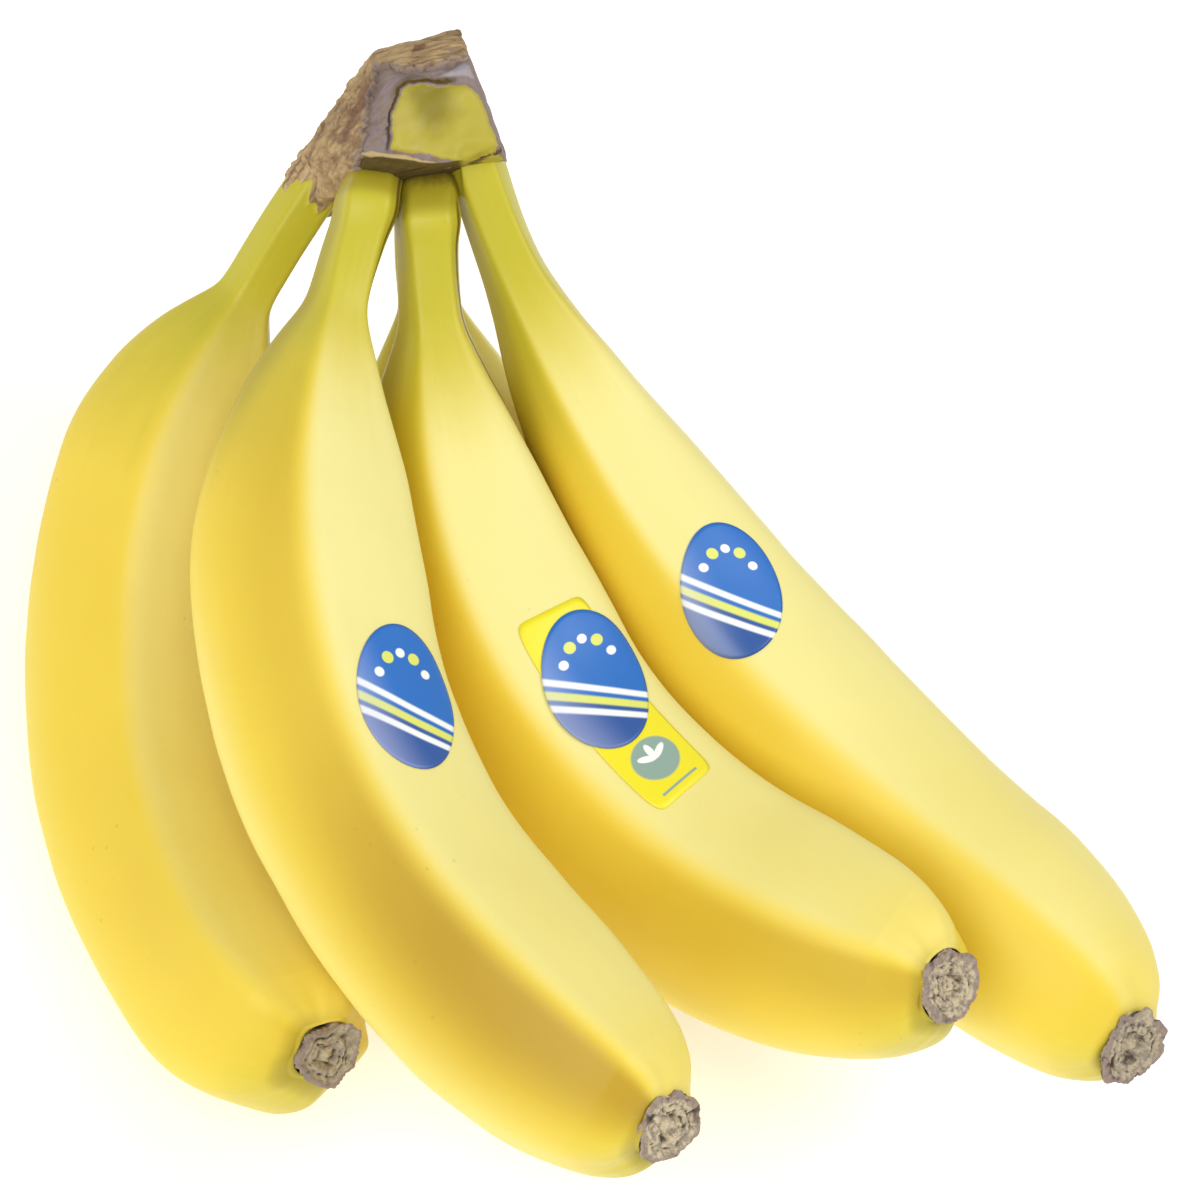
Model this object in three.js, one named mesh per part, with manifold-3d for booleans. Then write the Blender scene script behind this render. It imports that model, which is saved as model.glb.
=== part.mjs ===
import * as THREE from "three";
import { ConvexGeometry } from "three/addons/geometries/ConvexGeometry.js";
import { mergeVertices } from "three/addons/utils/BufferGeometryUtils.js";
import Module from "manifold-3d";

// A bunch of five ripe bananas on one crown, lying on its left and rear fingers.
// Millimetres and degrees, +Z up, the floor at z = 0. The fingers point to +X and -Y, away from the crown.

// Clear space between two pieces that touch
const GAP = 0.3;
// The way the ridge of every finger faces: forwards and up
const FACING = [0, -0.6253, 0.7804];
// How far the five ridges stand out of a round section, and how sharp they are
const RIDGE_HEIGHT = 0.03;
const RIDGE_EDGE = 0.008;
// Skin left out at the blossom end for the dried stub, and how far the stub stands out
const STUB_SEAT = 3.4;
const STUB_PROUD = 1.8;
// Thickness of the dried layer on the cut sides of the crown
const CORK = 2.6;
const CROWN_ROUNDING = 2;
// Stickers
const LABEL_THICKNESS = 0.35;
// Mesh fineness: rings along a finger and points round it
const RINGS = 40;
const AROUND = 28;

// Each finger runs from its root in the crown through a neck and a bent body to its tip.
// leave, body and tip are directions: compass angle from +X, then rise above level.
// inCrown is how far the neck runs on past its root; neck, radius and tipRadius are the radii along it.
// swell is where the neck starts to widen and over what length, early how soon.
// taper is the length of the blunt end, and tipShift sets it off centre, towards FACING and to its left.
// stub is the radius of the dried stub, and nod how far its end face turns towards FACING.
// ridge is the angle of the front ridge from FACING at the root and at the tip.
const FINGERS = [
  {
    name: "finger_1", root: [-100.1, 49.5, 84.3],
    leave: [-87.9, -42.7], body: [-84.8, -53.3], tip: [-24.9, 31.6],
    neckLength: 21.4, bodyLength: 172.4, inCrown: -3, neck: 4.9, radius: 18.1, tipRadius: 7.5,
    swell: [29.6, 37.3], early: 1, taper: 25.7, tipShift: [1.4, -3.7], stub: 5.3, nod: 16,
    ridge: [16, -14], skin: "#ead45e",
  },
  {
    name: "finger_2", root: [-94.5, 45.8, 98.8],
    leave: [-49.2, -34.6], body: [-67.3, -28.8], tip: [-8, 19.4],
    neckLength: 17.6, bodyLength: 181.4, inCrown: 0, neck: 5, radius: 19.9, tipRadius: 7,
    swell: [30.1, 56.9], early: 1, taper: 40.2, tipShift: [2.1, 0.1], stub: 5.9, nod: 31,
    ridge: [8, -28], skin: "#ecd868",
  },
  {
    name: "finger_3", root: [-84.6, 49, 98.1],
    leave: [-40.1, -41], body: [-33.3, -38.5], tip: [-0.7, 41.6],
    neckLength: 36.4, bodyLength: 158.4, inCrown: 6, neck: 5.2, radius: 20.5, tipRadius: 7.5,
    swell: [26.9, 63.6], early: 1, taper: 40.2, tipShift: [1.8, 0.4], stub: 6, nod: 24,
    ridge: [21, -16], skin: "#ecd668",
  },
  {
    name: "finger_4", root: [-81.2, 57.7, 99.9],
    leave: [-18.5, -35.5], body: [-8.5, -30.1], tip: [-16.7, 22],
    neckLength: 38.2, bodyLength: 168.6, inCrown: 0, neck: 4.9, radius: 20.4, tipRadius: 6.3,
    swell: [24.6, 112], early: 1, taper: 39.3, tipShift: [-0.7, 2.4], stub: 6.3, nod: 25,
    ridge: [26, -22], skin: "#edda70",
  },
  {
    name: "finger_5", root: [-88.5, 62.4, 86.3],
    leave: [-24.5, -58.7], body: [-20.5, -50.3], tip: [-21.5, 12.7],
    neckLength: 34.7, bodyLength: 124.3, inCrown: 0, neck: 5.1, radius: 18.3, tipRadius: 6.5,
    swell: [29.9, 31.6], early: 0.62, taper: 39.9, tipShift: [0, 0], stub: 5.6, nod: 20,
    ridge: [10, -15], skin: "#e2c34c",
  },
];

// Corners of the crown block before its edges are rounded: front face, sides behind it, and back
const CROWN_FRONT = [
  [-98.2, 51.6, 110.3], [-89.7, 61, 114], [-84.2, 59.4, 111.4], [-75.7, 53.9, 108.4],
  [-81.8, 45.5, 105.4], [-90.9, 42, 102.6], [-94.5, 40.4, 100.1], [-94.8, 41.3, 88],
];
const CROWN_SIDES = [
  [-105.6, 61.5, 100.3], [-96, 72.9, 106.9], [-105.2, 45.6, 85], [-98.3, 41.3, 80.3],
  [-73.8, 59.6, 100],
];
const CROWN_BACK = [
  [-107.2, 73.7, 87], [-97.4, 83.2, 94.6], [-106.1, 55.8, 72.7], [-99, 49.3, 73.9],
  [-79.5, 74.9, 88], [-75.9, 69.5, 88.8], [-84.9, 67.2, 79.2],
];
// The cut sides of the crown, each through three of its corners
const CUT_SIDES = [
  [CROWN_FRONT[0], CROWN_FRONT[6], CROWN_SIDES[0]],
  [CROWN_FRONT[0], CROWN_FRONT[1], CROWN_SIDES[0]],
  [CROWN_SIDES[0], CROWN_SIDES[2], CROWN_BACK[0]],
  [CROWN_SIDES[0], CROWN_SIDES[1], CROWN_BACK[0]],
];

// Stickers: at is the distance along the finger and the angle round it from FACING.
// half is half the length along the finger and half the width; turn leans the sticker.
// lift is its level on the skin, and power how square its outline is.
const LABELS = [
  {
    name: "label_1", finger: 1, at: [108.4, -47.7], half: [15.7, 10], turn: 5,
    lift: 1, power: 2, colour: "#2f6db4",
  },
  {
    name: "label_2_strip", finger: 2, at: [109.2, -35], half: [25.6, 7.9], turn: -3,
    lift: 1, power: 12, colour: "#efe53a",
  },
  {
    name: "label_2", finger: 2, at: [102.2, -36.2], half: [16.4, 10.4], turn: 9,
    lift: 2, power: 2, colour: "#2f6db4",
  },
  {
    name: "label_3", finger: 3, at: [92.9, -18], half: [14, 10.7], turn: 31,
    lift: 1, power: 2, colour: "#3873b8",
  },
];

const radians = (angle) => (angle * Math.PI) / 180;
const vector = (p) => new THREE.Vector3(...p);
const clamp = (x) => Math.min(1, Math.max(0, x));
const ease = (x) => clamp(x) ** 2 * (3 - 2 * clamp(x));

function direction([compass, rise]) {
  const [a, g] = [radians(compass), radians(rise)];
  return new THREE.Vector3(Math.cos(g) * Math.cos(a), Math.cos(g) * Math.sin(a), Math.sin(g));
}

// The unit vector a share t of the way round from a to b
function between(a, b, t) {
  const angle = a.angleTo(b);
  if (angle < 1e-6) return a.clone();
  return a.clone().multiplyScalar(Math.sin((1 - t) * angle))
    .addScaledVector(b, Math.sin(t * angle)).divideScalar(Math.sin(angle));
}

// The way a finger runs at a distance s from its root
function heading(finger, s) {
  const [leave, body, tip] = [finger.leave, finger.body, finger.tip].map(direction);
  if (s <= finger.neckLength) return between(leave, body, ease(s / finger.neckLength));
  const x = clamp((s - finger.neckLength) / finger.bodyLength);
  return between(body, tip, 0.5 * x + 0.5 * ease(x));
}

// Centre line of a finger: its points and headings in equal steps from the root
function centreLine(finger) {
  const steps = 160;
  const length = finger.neckLength + finger.bodyLength;
  const points = [vector(finger.root)];
  const headings = [heading(finger, 0)];
  for (let i = 1; i <= steps; i++) {
    headings.push(heading(finger, (length * i) / steps));
    const middle = headings[i - 1].clone().add(headings[i]).multiplyScalar(length / steps / 2);
    points.push(points[i - 1].clone().add(middle));
  }
  return { finger, length, steps, points, headings };
}

// Point on the centre line, its heading, and the two directions across it: towards FACING and to its left
function station(line, s) {
  const x = clamp(s / line.length) * line.steps;
  const i = Math.min(line.steps - 1, Math.floor(x));
  const centre = line.points[i].clone().lerp(line.points[i + 1], x - i);
  const along = line.headings[i].clone().lerp(line.headings[i + 1], x - i).normalize();
  centre.addScaledVector(along, s < 0 ? s : Math.max(0, s - line.length));
  const facing = vector(FACING);
  const front = facing.addScaledVector(along, -facing.dot(along)).normalize();
  const side = along.clone().cross(front);
  const shifted = 1 - fullness(line.finger, line.length - s);
  const [up, left] = line.finger.tipShift;
  centre.addScaledVector(front, shifted * up).addScaledVector(side, shifted * left);
  return { centre, along, front, side };
}

// How full the section still is at a distance from the tip: 1 along the body, 0 at the tip
function fullness(finger, fromTip) {
  return (1 - (1 - clamp(fromTip / finger.taper)) ** 2) ** 0.62;
}

function radiusAt(finger, s) {
  const length = finger.neckLength + finger.bodyLength;
  const x = clamp((s - finger.swell[0]) / finger.swell[1]);
  const swell = (1 - finger.early) * ease(x) + finger.early * (1 - (1 - x) ** 2);
  const body = finger.neck + (finger.radius - finger.neck) * swell;
  return finger.tipRadius + (body - finger.tipRadius) * fullness(finger, length - s);
}

// Five-sided section: its radius at an angle from FACING
function sectionRadius(finger, s, angle) {
  const share = s / (finger.neckLength + finger.bodyLength);
  const ridge = radians(finger.ridge[0] + (finger.ridge[1] - finger.ridge[0]) * share);
  const turn = angle - ridge;
  return radiusAt(finger, s) * (1 + RIDGE_HEIGHT * Math.cos(5 * turn) + RIDGE_EDGE * Math.cos(10 * turn));
}

function skinPoint(finger, line, s, angle, lift) {
  const at = station(line, s);
  const r = sectionRadius(finger, s, angle) + lift;
  return at.centre.addScaledVector(at.front, r * Math.cos(angle))
    .addScaledVector(at.side, r * Math.sin(angle));
}

const wasm = await Module();
wasm.setup();

function toManifold(positions, triangles) {
  const vertProperties = new Float32Array(positions);
  const triVerts = new Uint32Array(triangles);
  return new wasm.Manifold(new wasm.Mesh({ numProp: 3, vertProperties, triVerts }));
}

function toGeometry(solid) {
  const mesh = solid.getMesh();
  const geometry = new THREE.BufferGeometry();
  geometry.setAttribute("position", new THREE.BufferAttribute(Float32Array.from(mesh.vertProperties), 3));
  geometry.setIndex(new THREE.BufferAttribute(Uint32Array.from(mesh.triVerts), 1));
  return mergeVertices(geometry, 2e-3);
}

// A closed solid from rings of points, each ring joined to the next and both ends closed to a middle point
function ringSolid(rings, firstMiddle, lastMiddle) {
  const around = rings[0].length;
  const points = rings.flat();
  const triangles = [];
  for (let i = 0; i + 1 < rings.length; i++) {
    for (let j = 0; j < around; j++) {
      const [a, b] = [i * around + j, i * around + ((j + 1) % around)];
      triangles.push(a, b, b + around, a, b + around, a + around);
    }
  }
  const last = (rings.length - 1) * around;
  for (let j = 0; j < around; j++) {
    const next = (j + 1) % around;
    triangles.push(points.length, next, j, points.length + 1, last + j, last + next);
  }
  points.push(firstMiddle, lastMiddle);
  return toManifold(points.flatMap((p) => p.toArray()), triangles);
}

// The largest piece of a solid, with points nearly in one place joined, so that slivers are dropped
function largest(solid) {
  const geometry = toGeometry(solid);
  const joined = toManifold(geometry.attributes.position.array, geometry.index.array);
  return joined.decompose().sort((a, b) => b.volume() - a.volume())[0];
}

// Distances of the rings along a finger, closer together towards both ends
function ringDistances(from, to, count) {
  return Array.from({ length: count + 1 }, (_, i) => {
    const x = i / count;
    return from + (to - from) * (x - 0.085 * Math.sin(2 * Math.PI * x));
  });
}

// The skin of a finger up to the seat of its stub, thicker by extra all round
function fingerSolid(finger, extra) {
  const line = centreLine(finger);
  const [from, to] = [-finger.inCrown - extra, line.length - STUB_SEAT + extra];
  const rings = ringDistances(from, to, RINGS).map((s) =>
    Array.from({ length: AROUND }, (_, j) => skinPoint(finger, line, s, (j * 2 * Math.PI) / AROUND, extra)),
  );
  return ringSolid(rings, station(line, from).centre, station(line, to).centre);
}

// The dried blossom end: a short uneven drum with a hollow end face, which turns towards FACING by nod.
// A turned face sits lower, so that its far edge doesn't stand out too far.
function stubSolid(finger) {
  const line = centreLine(finger);
  const base = station(line, line.length - STUB_SEAT + GAP);
  const nod = radians(finger.nod);
  const tall = STUB_SEAT + STUB_PROUD - GAP - 0.5 * finger.stub * Math.sin(nod);
  const across = (turn, up, out) =>
    base.along.clone().multiplyScalar(up * Math.cos(turn) - out * Math.sin(turn))
      .addScaledVector(base.front, up * Math.sin(turn) + out * Math.cos(turn));
  // Rings of the drum: height and radius as shares of its own
  const profile = [[0, 0.86], [0.5, 1.03], [0.9, 1.02], [1, 0.86], [0.86, 0.6], [0.78, 0.3]];
  const rings = profile.map(([height, width]) =>
    Array.from({ length: 20 }, (_, j) => {
      const angle = (j * Math.PI) / 10;
      const wavy = 0.05 * Math.cos(3 * angle + finger.radius);
      const ragged = 0.035 * Math.cos(7 * angle + finger.neck * 3);
      const r = finger.stub * width * (1 + wavy + ragged);
      return base.centre.clone()
        .add(across(0.5 * nod * height, height * tall, 0))
        .add(across(nod * height, 0, r * Math.cos(angle)))
        .addScaledVector(base.side, r * Math.sin(angle));
    }),
  );
  const top = base.centre.clone().add(across(0.5 * nod, 0.74 * tall, 0));
  return ringSolid(rings, base.centre.clone(), top);
}

// A thin sticker that follows the skin: a disc with a rounder or squarer outline, doubled to its thickness
function labelSolid(label) {
  const finger = FINGERS[label.finger];
  const line = centreLine(finger);
  const lean = radians(label.turn);
  const low = label.lift * GAP + (label.lift - 1) * LABEL_THICKNESS;
  const disc = (lift) =>
    [1, 0.75, 0.5, 0.25].map((share) =>
      Array.from({ length: 32 }, (_, j) => {
        const angle = (j * Math.PI) / 16;
        const [c, n] = [Math.cos(angle), -Math.sin(angle)];
        const rounded = Math.abs(c) ** label.power + Math.abs(n) ** label.power;
        const reach = share / rounded ** (1 / label.power);
        const [u, v] = [label.half[0] * reach * c, label.half[1] * reach * n];
        const s = label.at[0] + u * Math.cos(lean) - v * Math.sin(lean);
        const across = u * Math.sin(lean) + v * Math.cos(lean);
        return skinPoint(finger, line, s, radians(label.at[1]) + across / finger.radius, lift);
      }),
    );
  const middle = (lift) => skinPoint(finger, line, label.at[0], radians(label.at[1]), lift);
  const [inner, outer] = [disc(low), disc(low + LABEL_THICKNESS)];
  return ringSolid([...inner.reverse(), ...outer], middle(low), middle(low + LABEL_THICKNESS));
}

// The crown block: a skin stretched over small balls at its corners, so that its edges are rounded
function crownBlock() {
  const corners = [...CROWN_FRONT, ...CROWN_SIDES, ...CROWN_BACK].map(vector);
  const middle = corners.reduce((sum, p) => sum.add(p), new THREE.Vector3()).divideScalar(corners.length);
  const ball = new THREE.IcosahedronGeometry(CROWN_ROUNDING).attributes.position;
  const points = corners.flatMap((p) => {
    const centre = middle.clone().sub(p).setLength(CROWN_ROUNDING).add(p);
    return Array.from({ length: ball.count }, (_, i) =>
      new THREE.Vector3().fromBufferAttribute(ball, i).add(centre));
  });
  const stretched = new ConvexGeometry(points);
  stretched.deleteAttribute("normal");
  const joined = mergeVertices(stretched, 1e-4);
  return { block: toManifold(joined.attributes.position.array, joined.index.array), middle };
}

// What is left of the block behind all its cut sides, moved in by a depth
function behindCuts(block, middle, depth) {
  return CUT_SIDES.reduce((solid, side) => {
    const [a, b, c] = side.map(vector);
    const normal = b.clone().sub(a).cross(c.clone().sub(a)).normalize();
    if (normal.dot(middle.clone().sub(a)) < 0) normal.negate();
    return solid.trimByPlane(normal.toArray(), normal.dot(a) + depth);
  }, block);
}

const onFloor = (solid) => solid.trimByPlane([0, 0, 1], 0);

// Fingers: each is cut by the ones built before it, so that pressed sides stay a gap apart
const CUT_ORDER = [1, 0, 2, 3, 4];
const skins = [];
for (const i of CUT_ORDER) {
  const cutters = CUT_ORDER.slice(0, CUT_ORDER.indexOf(i));
  const whole = onFloor(fingerSolid(FINGERS[i], 0));
  skins[i] = largest(cutters.reduce((solid, k) => solid.subtract(fingerSolid(FINGERS[k], GAP)), whole));
}

// Crown: the block without the dried layer and without the necks, and the dried layer itself
const { block, middle } = crownBlock();
const withoutNecks = (solid) =>
  FINGERS.reduce((rest, finger) => rest.subtract(fingerSolid(finger, GAP)), solid);
const crown = largest(withoutNecks(behindCuts(block, middle, CORK + GAP)));
const cork = largest(withoutNecks(block.subtract(behindCuts(block, middle, CORK))));

const pieces = [
  ["crown", crown, "#c3b748", 0.6],
  ["crown_cut", cork, "#8d7450", 0.9],
  ...FINGERS.map((finger, i) => [finger.name, skins[i], finger.skin, 0.5]),
  ...FINGERS.map((finger) => [finger.name + "_tip", stubSolid(finger), "#86735c", 0.9]),
  ...LABELS.map((label) => [label.name, labelSolid(label), label.colour, 0.35]),
];

const group = new THREE.Group();
group.name = "banana_bunch";
for (const [name, solid, colour, roughness] of pieces) {
  const material = new THREE.MeshStandardMaterial({ color: colour, roughness, metalness: 0 });
  const mesh = new THREE.Mesh(toGeometry(solid), material);
  mesh.name = name;
  group.add(mesh);
}

// Stand the origin under the middle of the whole bunch, on the floor
const box = new THREE.Box3().setFromObject(group);
const shift = box.getCenter(new THREE.Vector3()).negate().setZ(-box.min.z);
for (const mesh of group.children) mesh.geometry.translate(shift.x, shift.y, shift.z);

export default group;
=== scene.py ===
import math

import bmesh
import bpy
import numpy as np
from mathutils import Matrix


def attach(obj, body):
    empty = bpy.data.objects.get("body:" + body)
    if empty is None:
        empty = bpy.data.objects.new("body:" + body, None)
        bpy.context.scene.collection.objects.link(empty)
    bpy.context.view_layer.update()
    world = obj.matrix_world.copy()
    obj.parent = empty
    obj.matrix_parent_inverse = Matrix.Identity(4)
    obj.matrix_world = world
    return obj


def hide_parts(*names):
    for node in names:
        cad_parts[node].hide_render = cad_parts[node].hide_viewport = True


bl_info = {
    "name": "Banana bunch",
    "version": (1, 0, 0),
    "blender": (4, 5, 0),
    "location": "View3D > Sidebar > Bananas",
    "description": "Finished skins, crown, dried ends and stickers for a bunch of five bananas",
    "category": "Add Mesh",
}

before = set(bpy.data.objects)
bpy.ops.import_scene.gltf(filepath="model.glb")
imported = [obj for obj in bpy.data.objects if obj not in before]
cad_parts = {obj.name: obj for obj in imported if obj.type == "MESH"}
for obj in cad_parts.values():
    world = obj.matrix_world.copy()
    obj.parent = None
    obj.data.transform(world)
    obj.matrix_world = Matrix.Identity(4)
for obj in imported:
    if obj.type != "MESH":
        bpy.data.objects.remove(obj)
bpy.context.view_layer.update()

# Shapes are worked out in millimetres and degrees, as in the part's source, and placed in metres
MM = 0.001
# How far the part was moved so that its origin stands under the middle of the bunch
CENTRED = np.array([-0.593, 0.326, 0.0])

# The photograph's view: image right, image up, and back from the object to the camera
RIGHT = np.array([0.79958, 0.46866, 0.37555])
UP = np.array([-0.60057, 0.62396, 0.5])
BACK = np.cross(RIGHT, UP)
AIM = np.array([-15.864, 16.606, 71.77])
CAMERA_AWAY = 750.0
LENS = 128.25
FLOOR_REACH = 3.0

# The way the ridge of every finger faces, and the height and sharpness of its five ridges
FACING = np.array([0, -0.6253, 0.7804])
BODY_RIDGE = (0.046, 0.0088, 0.0022)
NECK_RIDGE = (0.062, 0.0140, 0.0040)
# Skin left out at the blossom end for the dried stub, and how far the stub stands out
STUB_SEAT = 3.4
STUB_PROUD = 1.8
# The skin's lip round the stub: how far before the end it lies, how high it stands, and the crevice behind it
LIP_BACK = 1.5
LIP_HIGH = 0.45
CREVICE = 2.4
# Length of a finger's blunt end, and how far its root runs on inside the crown
BLUNT_END = 9
ROOT = 5
# Clear space between pressed skins, and how softly one gives way to the other
GAP = 0.3
GIVE = 0.8

# Each finger: root, headings as compass angle and rise, lengths and radii, as in the part's source.
# ridge turns from root to tip, ridged is how sharp it is, and neck_turn is a further turn at the neck.
# ochre is its painted shade left of the front ridge, all along and lower down, and painted_highlight the strength
# of its painted highlight. knuckle is where the neck bends into the crown, and how far.
# A stub's nod and turn are degrees, its crumple, hollow and tint shares, its fin one flap's place, size and width.
NO_FIN = (0, 0, 20)
FINGERS = [
    dict(
        name="finger_1", root=(-100.1, 49.5, 84.3), leave=(-87.9, -42.7), body=(-84.8, -53.3), tip=(-24.9, 31.6),
        neck_length=21.4, body_length=172.4, neck=4.9, radius=18.1, tip_radius=7.5,
        swell=(29.6, 37.3), taper=25.7, tip_shift=(1.4, -3.7), ridge=(12, -16), ridged=1.3,
        ochre=(0.14, 0.10), painted_highlight=0.7,
        stub=dict(radius=5.4, nod=16, plates=5, crumple=0.22, hollow=0.10, tint=0.45, turn=20,
                  fin=(-100, 0.34, 40), shift=-0.3),
    ),
    dict(
        name="finger_2", root=(-94.5, 45.8, 98.8), leave=(-49.2, -34.6), body=(-67.3, -28.8), tip=(-8, 19.4),
        neck_length=17.6, body_length=181.4, neck=5, radius=19.9, tip_radius=7,
        swell=(30.1, 56.9), taper=40.2, tip_shift=(2.1, 0.1), ridge=(8, -28), ridged=1.15, neck_turn=28,
        ochre=(0.40, 0.40), waist=0.03, knuckle=(6.8, 9),
        stub=dict(radius=5.9, nod=31, plates=8, crumple=0.34, hollow=0.16, tint=1.0, turn=70,
                  fin=NO_FIN, shift=-0.6),
    ),
    dict(
        name="finger_3", root=(-84.6, 49, 98.1), leave=(-40.1, -41), body=(-33.3, -38.5), tip=(-0.7, 41.6),
        neck_length=36.4, body_length=158.4, neck=5.2, radius=20.5, tip_radius=7.5,
        swell=(26.9, 63.6), taper=40.2, tip_shift=(1.8, 0.4), ridge=(21, -16), ridged=1.1, neck_turn=14,
        ochre=(0.03, 0.50), waist=0.02, knuckle=(4.8, 9),
        stub=dict(radius=6, nod=24, plates=6, crumple=0.30, hollow=0.20, tint=0.9, turn=140,
                  fin=NO_FIN, shift=0),
    ),
    dict(
        name="finger_4", root=(-81.2, 57.7, 99.9), leave=(-18.5, -35.5), body=(-8.5, -30.1), tip=(-16.7, 22),
        neck_length=38.2, body_length=168.6, neck=4.9, radius=20.4, tip_radius=6.3,
        swell=(24.6, 112), taper=39.3, tip_shift=(-0.7, 2.4), ridge=(26, -22), ridged=0.7, neck_turn=12,
        ochre=(0.02, 0.16),
        stub=dict(radius=6.6, nod=25, plates=7, crumple=0.42, hollow=0.30, tint=0.6, turn=-60,
                  fin=(-70, 0.34, 17), shift=1.1),
    ),
    dict(
        name="finger_5", root=(-88.5, 62.4, 86.3), leave=(-24.5, -58.7), body=(-20.5, -50.3), tip=(-21.5, 12.7),
        neck_length=34.7, body_length=124.3, neck=5.1, radius=18.3, tip_radius=6.5,
        swell=(29.9, 31.6), early=0.62, taper=39.9, tip_shift=(0, 0), ridge=(10, -15), ridged=0.8,
        ochre=(0.1, 0.2), painted_highlight=0.8,
        stub=dict(radius=5.6, nod=20, plates=6, crumple=0.34, hollow=0.20, tint=0.8, turn=0,
                  fin=NO_FIN, shift=0),
    ),
]
# Fingers in the order in which they keep their full shape: each gives way to the ones before it
PRESSED_ORDER = [1, 0, 2, 3, 4]

# Corners of the crown block: the front face, the sides behind it, and the back
CROWN_FRONT = [
    (-98.2, 51.6, 110.3), (-89.7, 61, 114), (-84.2, 59.4, 111.4), (-75.7, 53.9, 108.4),
    (-81.8, 45.5, 105.4), (-90.9, 42, 102.6), (-94.5, 40.4, 100.1), (-94.8, 41.3, 88),
]
CROWN_SIDES = [
    (-105.6, 61.5, 100.3), (-96, 72.9, 106.9), (-105.2, 45.6, 85), (-98.3, 41.3, 80.3), (-73.8, 59.6, 100),
]
CROWN_BACK = [
    (-107.2, 73.7, 87), (-97.4, 83.2, 94.6), (-106.1, 55.8, 72.7), (-99, 49.3, 73.9),
    (-79.5, 74.9, 88), (-75.9, 69.5, 88.8), (-84.9, 67.2, 79.2),
]
# The cut sides of the crown, each through three of its corners
CUT_SIDES = [
    (CROWN_FRONT[0], CROWN_FRONT[6], CROWN_SIDES[0]),
    (CROWN_FRONT[0], CROWN_FRONT[1], CROWN_SIDES[0]),
    (CROWN_SIDES[0], CROWN_SIDES[2], CROWN_BACK[0]),
    (CROWN_SIDES[0], CROWN_SIDES[1], CROWN_BACK[0]),
]
# Power of the mean that rounds the crown's edges: higher is sharper
CROWN_SHARP = 46
CROWN_MIDDLE = np.mean(CROWN_FRONT + CROWN_SIDES + CROWN_BACK, axis=0)
# Outline of the green face, and the lip below it, right and up from the crown's middle as the camera sees them
GREEN_FACE = [
    (-1.5, 5.6), (-0.1, 6.7), (7.9, 6.7), (10.0, 7.0), (12.4, 5.3), (14.5, 0.1),
    (16.3, -4.3), (9.0, -7.6), (5.5, -7.1), (-3.6, -5.5), (-2.9, 1.8),
]
LIP = [(-8.2, -5.6), (-3.6, -6.1), (2.0, -7.2), (6.5, -8.1), (11.0, -7.4), (16.8, -4.9)]
SILVER = [(5.2, 7.6), (9.6, 10.6), (13.4, 9.2), (12.6, 7.4), (10.2, 7.9)]
# Edge of the dried layer where the camera sees it, from the top right to the lower left, and far out round it
CORK_EDGE = [
    (19, 13.0), (10.1, 11.5), (4.8, 9.4), (-1.6, 9.4), (-3.4, 10.6), (-6.0, 10.6), (-7.0, 4.0), (-8.1, -3.9),
    (-9.0, -6.5), (-9.4, -10.5), (-11, -13), (-15.4, -16), (-17.5, -19.5), (-45, -19.5), (-45, 45), (19, 45),
]

# Stickers: distance along the finger and angle round it, half sizes, lean, level and squareness of the outline
STICKERS = [
    dict(name="label_1", finger=1, at=(108.4, -47.7), half=(15.7, 10), turn=5, level=1, power=2),
    dict(name="label_2_strip", finger=2, at=(109.2, -35), half=(25.6, 7.9), turn=-3, level=1, power=12),
    dict(name="label_2", finger=2, at=(102.2, -36.2), half=(16.4, 10.4), turn=9, level=2, power=2),
    dict(name="label_3", finger=3, at=(92.9, -18), half=(14, 10.7), turn=31, level=1, power=2),
]
STICKER_THICK = 0.16


def unit(vectors):
    """Each vector over its own length."""
    return vectors / np.linalg.norm(vectors, axis=-1, keepdims=True)


def ease(x):
    """Smooth step: 3x^2 - 2x^3 with x kept from 0 to 1."""
    x = np.clip(x, 0, 1)
    return x * x * (3 - 2 * x)


def step(x, low, high):
    """Smooth step from 0 at low to 1 at high."""
    return ease((x - low) / (high - low))


def band(x, low, full, ebb, high):
    """1 between full and ebb, and 0 below low and above high, by smooth steps."""
    return step(x, low, full) * (1 - step(x, ebb, high))


def bell(x, centre, width):
    """Smooth bump of height 1: e to the power of minus ((x - centre) / width)^2."""
    return np.exp(-(((x - centre) / width) ** 2))


def wrapped(angle):
    """The same angle from minus half a turn to half a turn."""
    return (angle + math.pi) % (2 * math.pi) - math.pi


def soft_above(x, softness):
    """x well above 0 and 0 well below, rounded between: half of x plus the root of x^2 + softness^2."""
    return 0.5 * (x + np.sqrt(x * x + softness * softness))


def heading(compass, rise):
    a, g = math.radians(compass), math.radians(rise)
    return np.array([math.cos(g) * math.cos(a), math.cos(g) * math.sin(a), math.sin(g)])


def between(a, b, t):
    """Unit vectors a share t of the way round from a to b, by sines of the parts of the angle between them."""
    angle = math.acos(float(np.clip(a @ b, -1, 1)))
    t = t[:, None]
    return (np.sin((1 - t) * angle) * a + np.sin(t * angle) * b) / math.sin(angle)


def waves(points, size, seed, count=14):
    """Smooth uneven field from -1 to 1: the mean of plane waves about size long in random directions."""
    draw = np.random.default_rng(seed)
    ways = unit(draw.normal(size=(count, 3)))
    lengths = size * draw.uniform(0.6, 1.6, count)
    phases = draw.uniform(0, 2 * math.pi, count)
    turns = points @ (ways * (2 * math.pi / lengths)[:, None]).T + phases
    return np.sin(turns).sum(-1) / math.sqrt(count)


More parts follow.
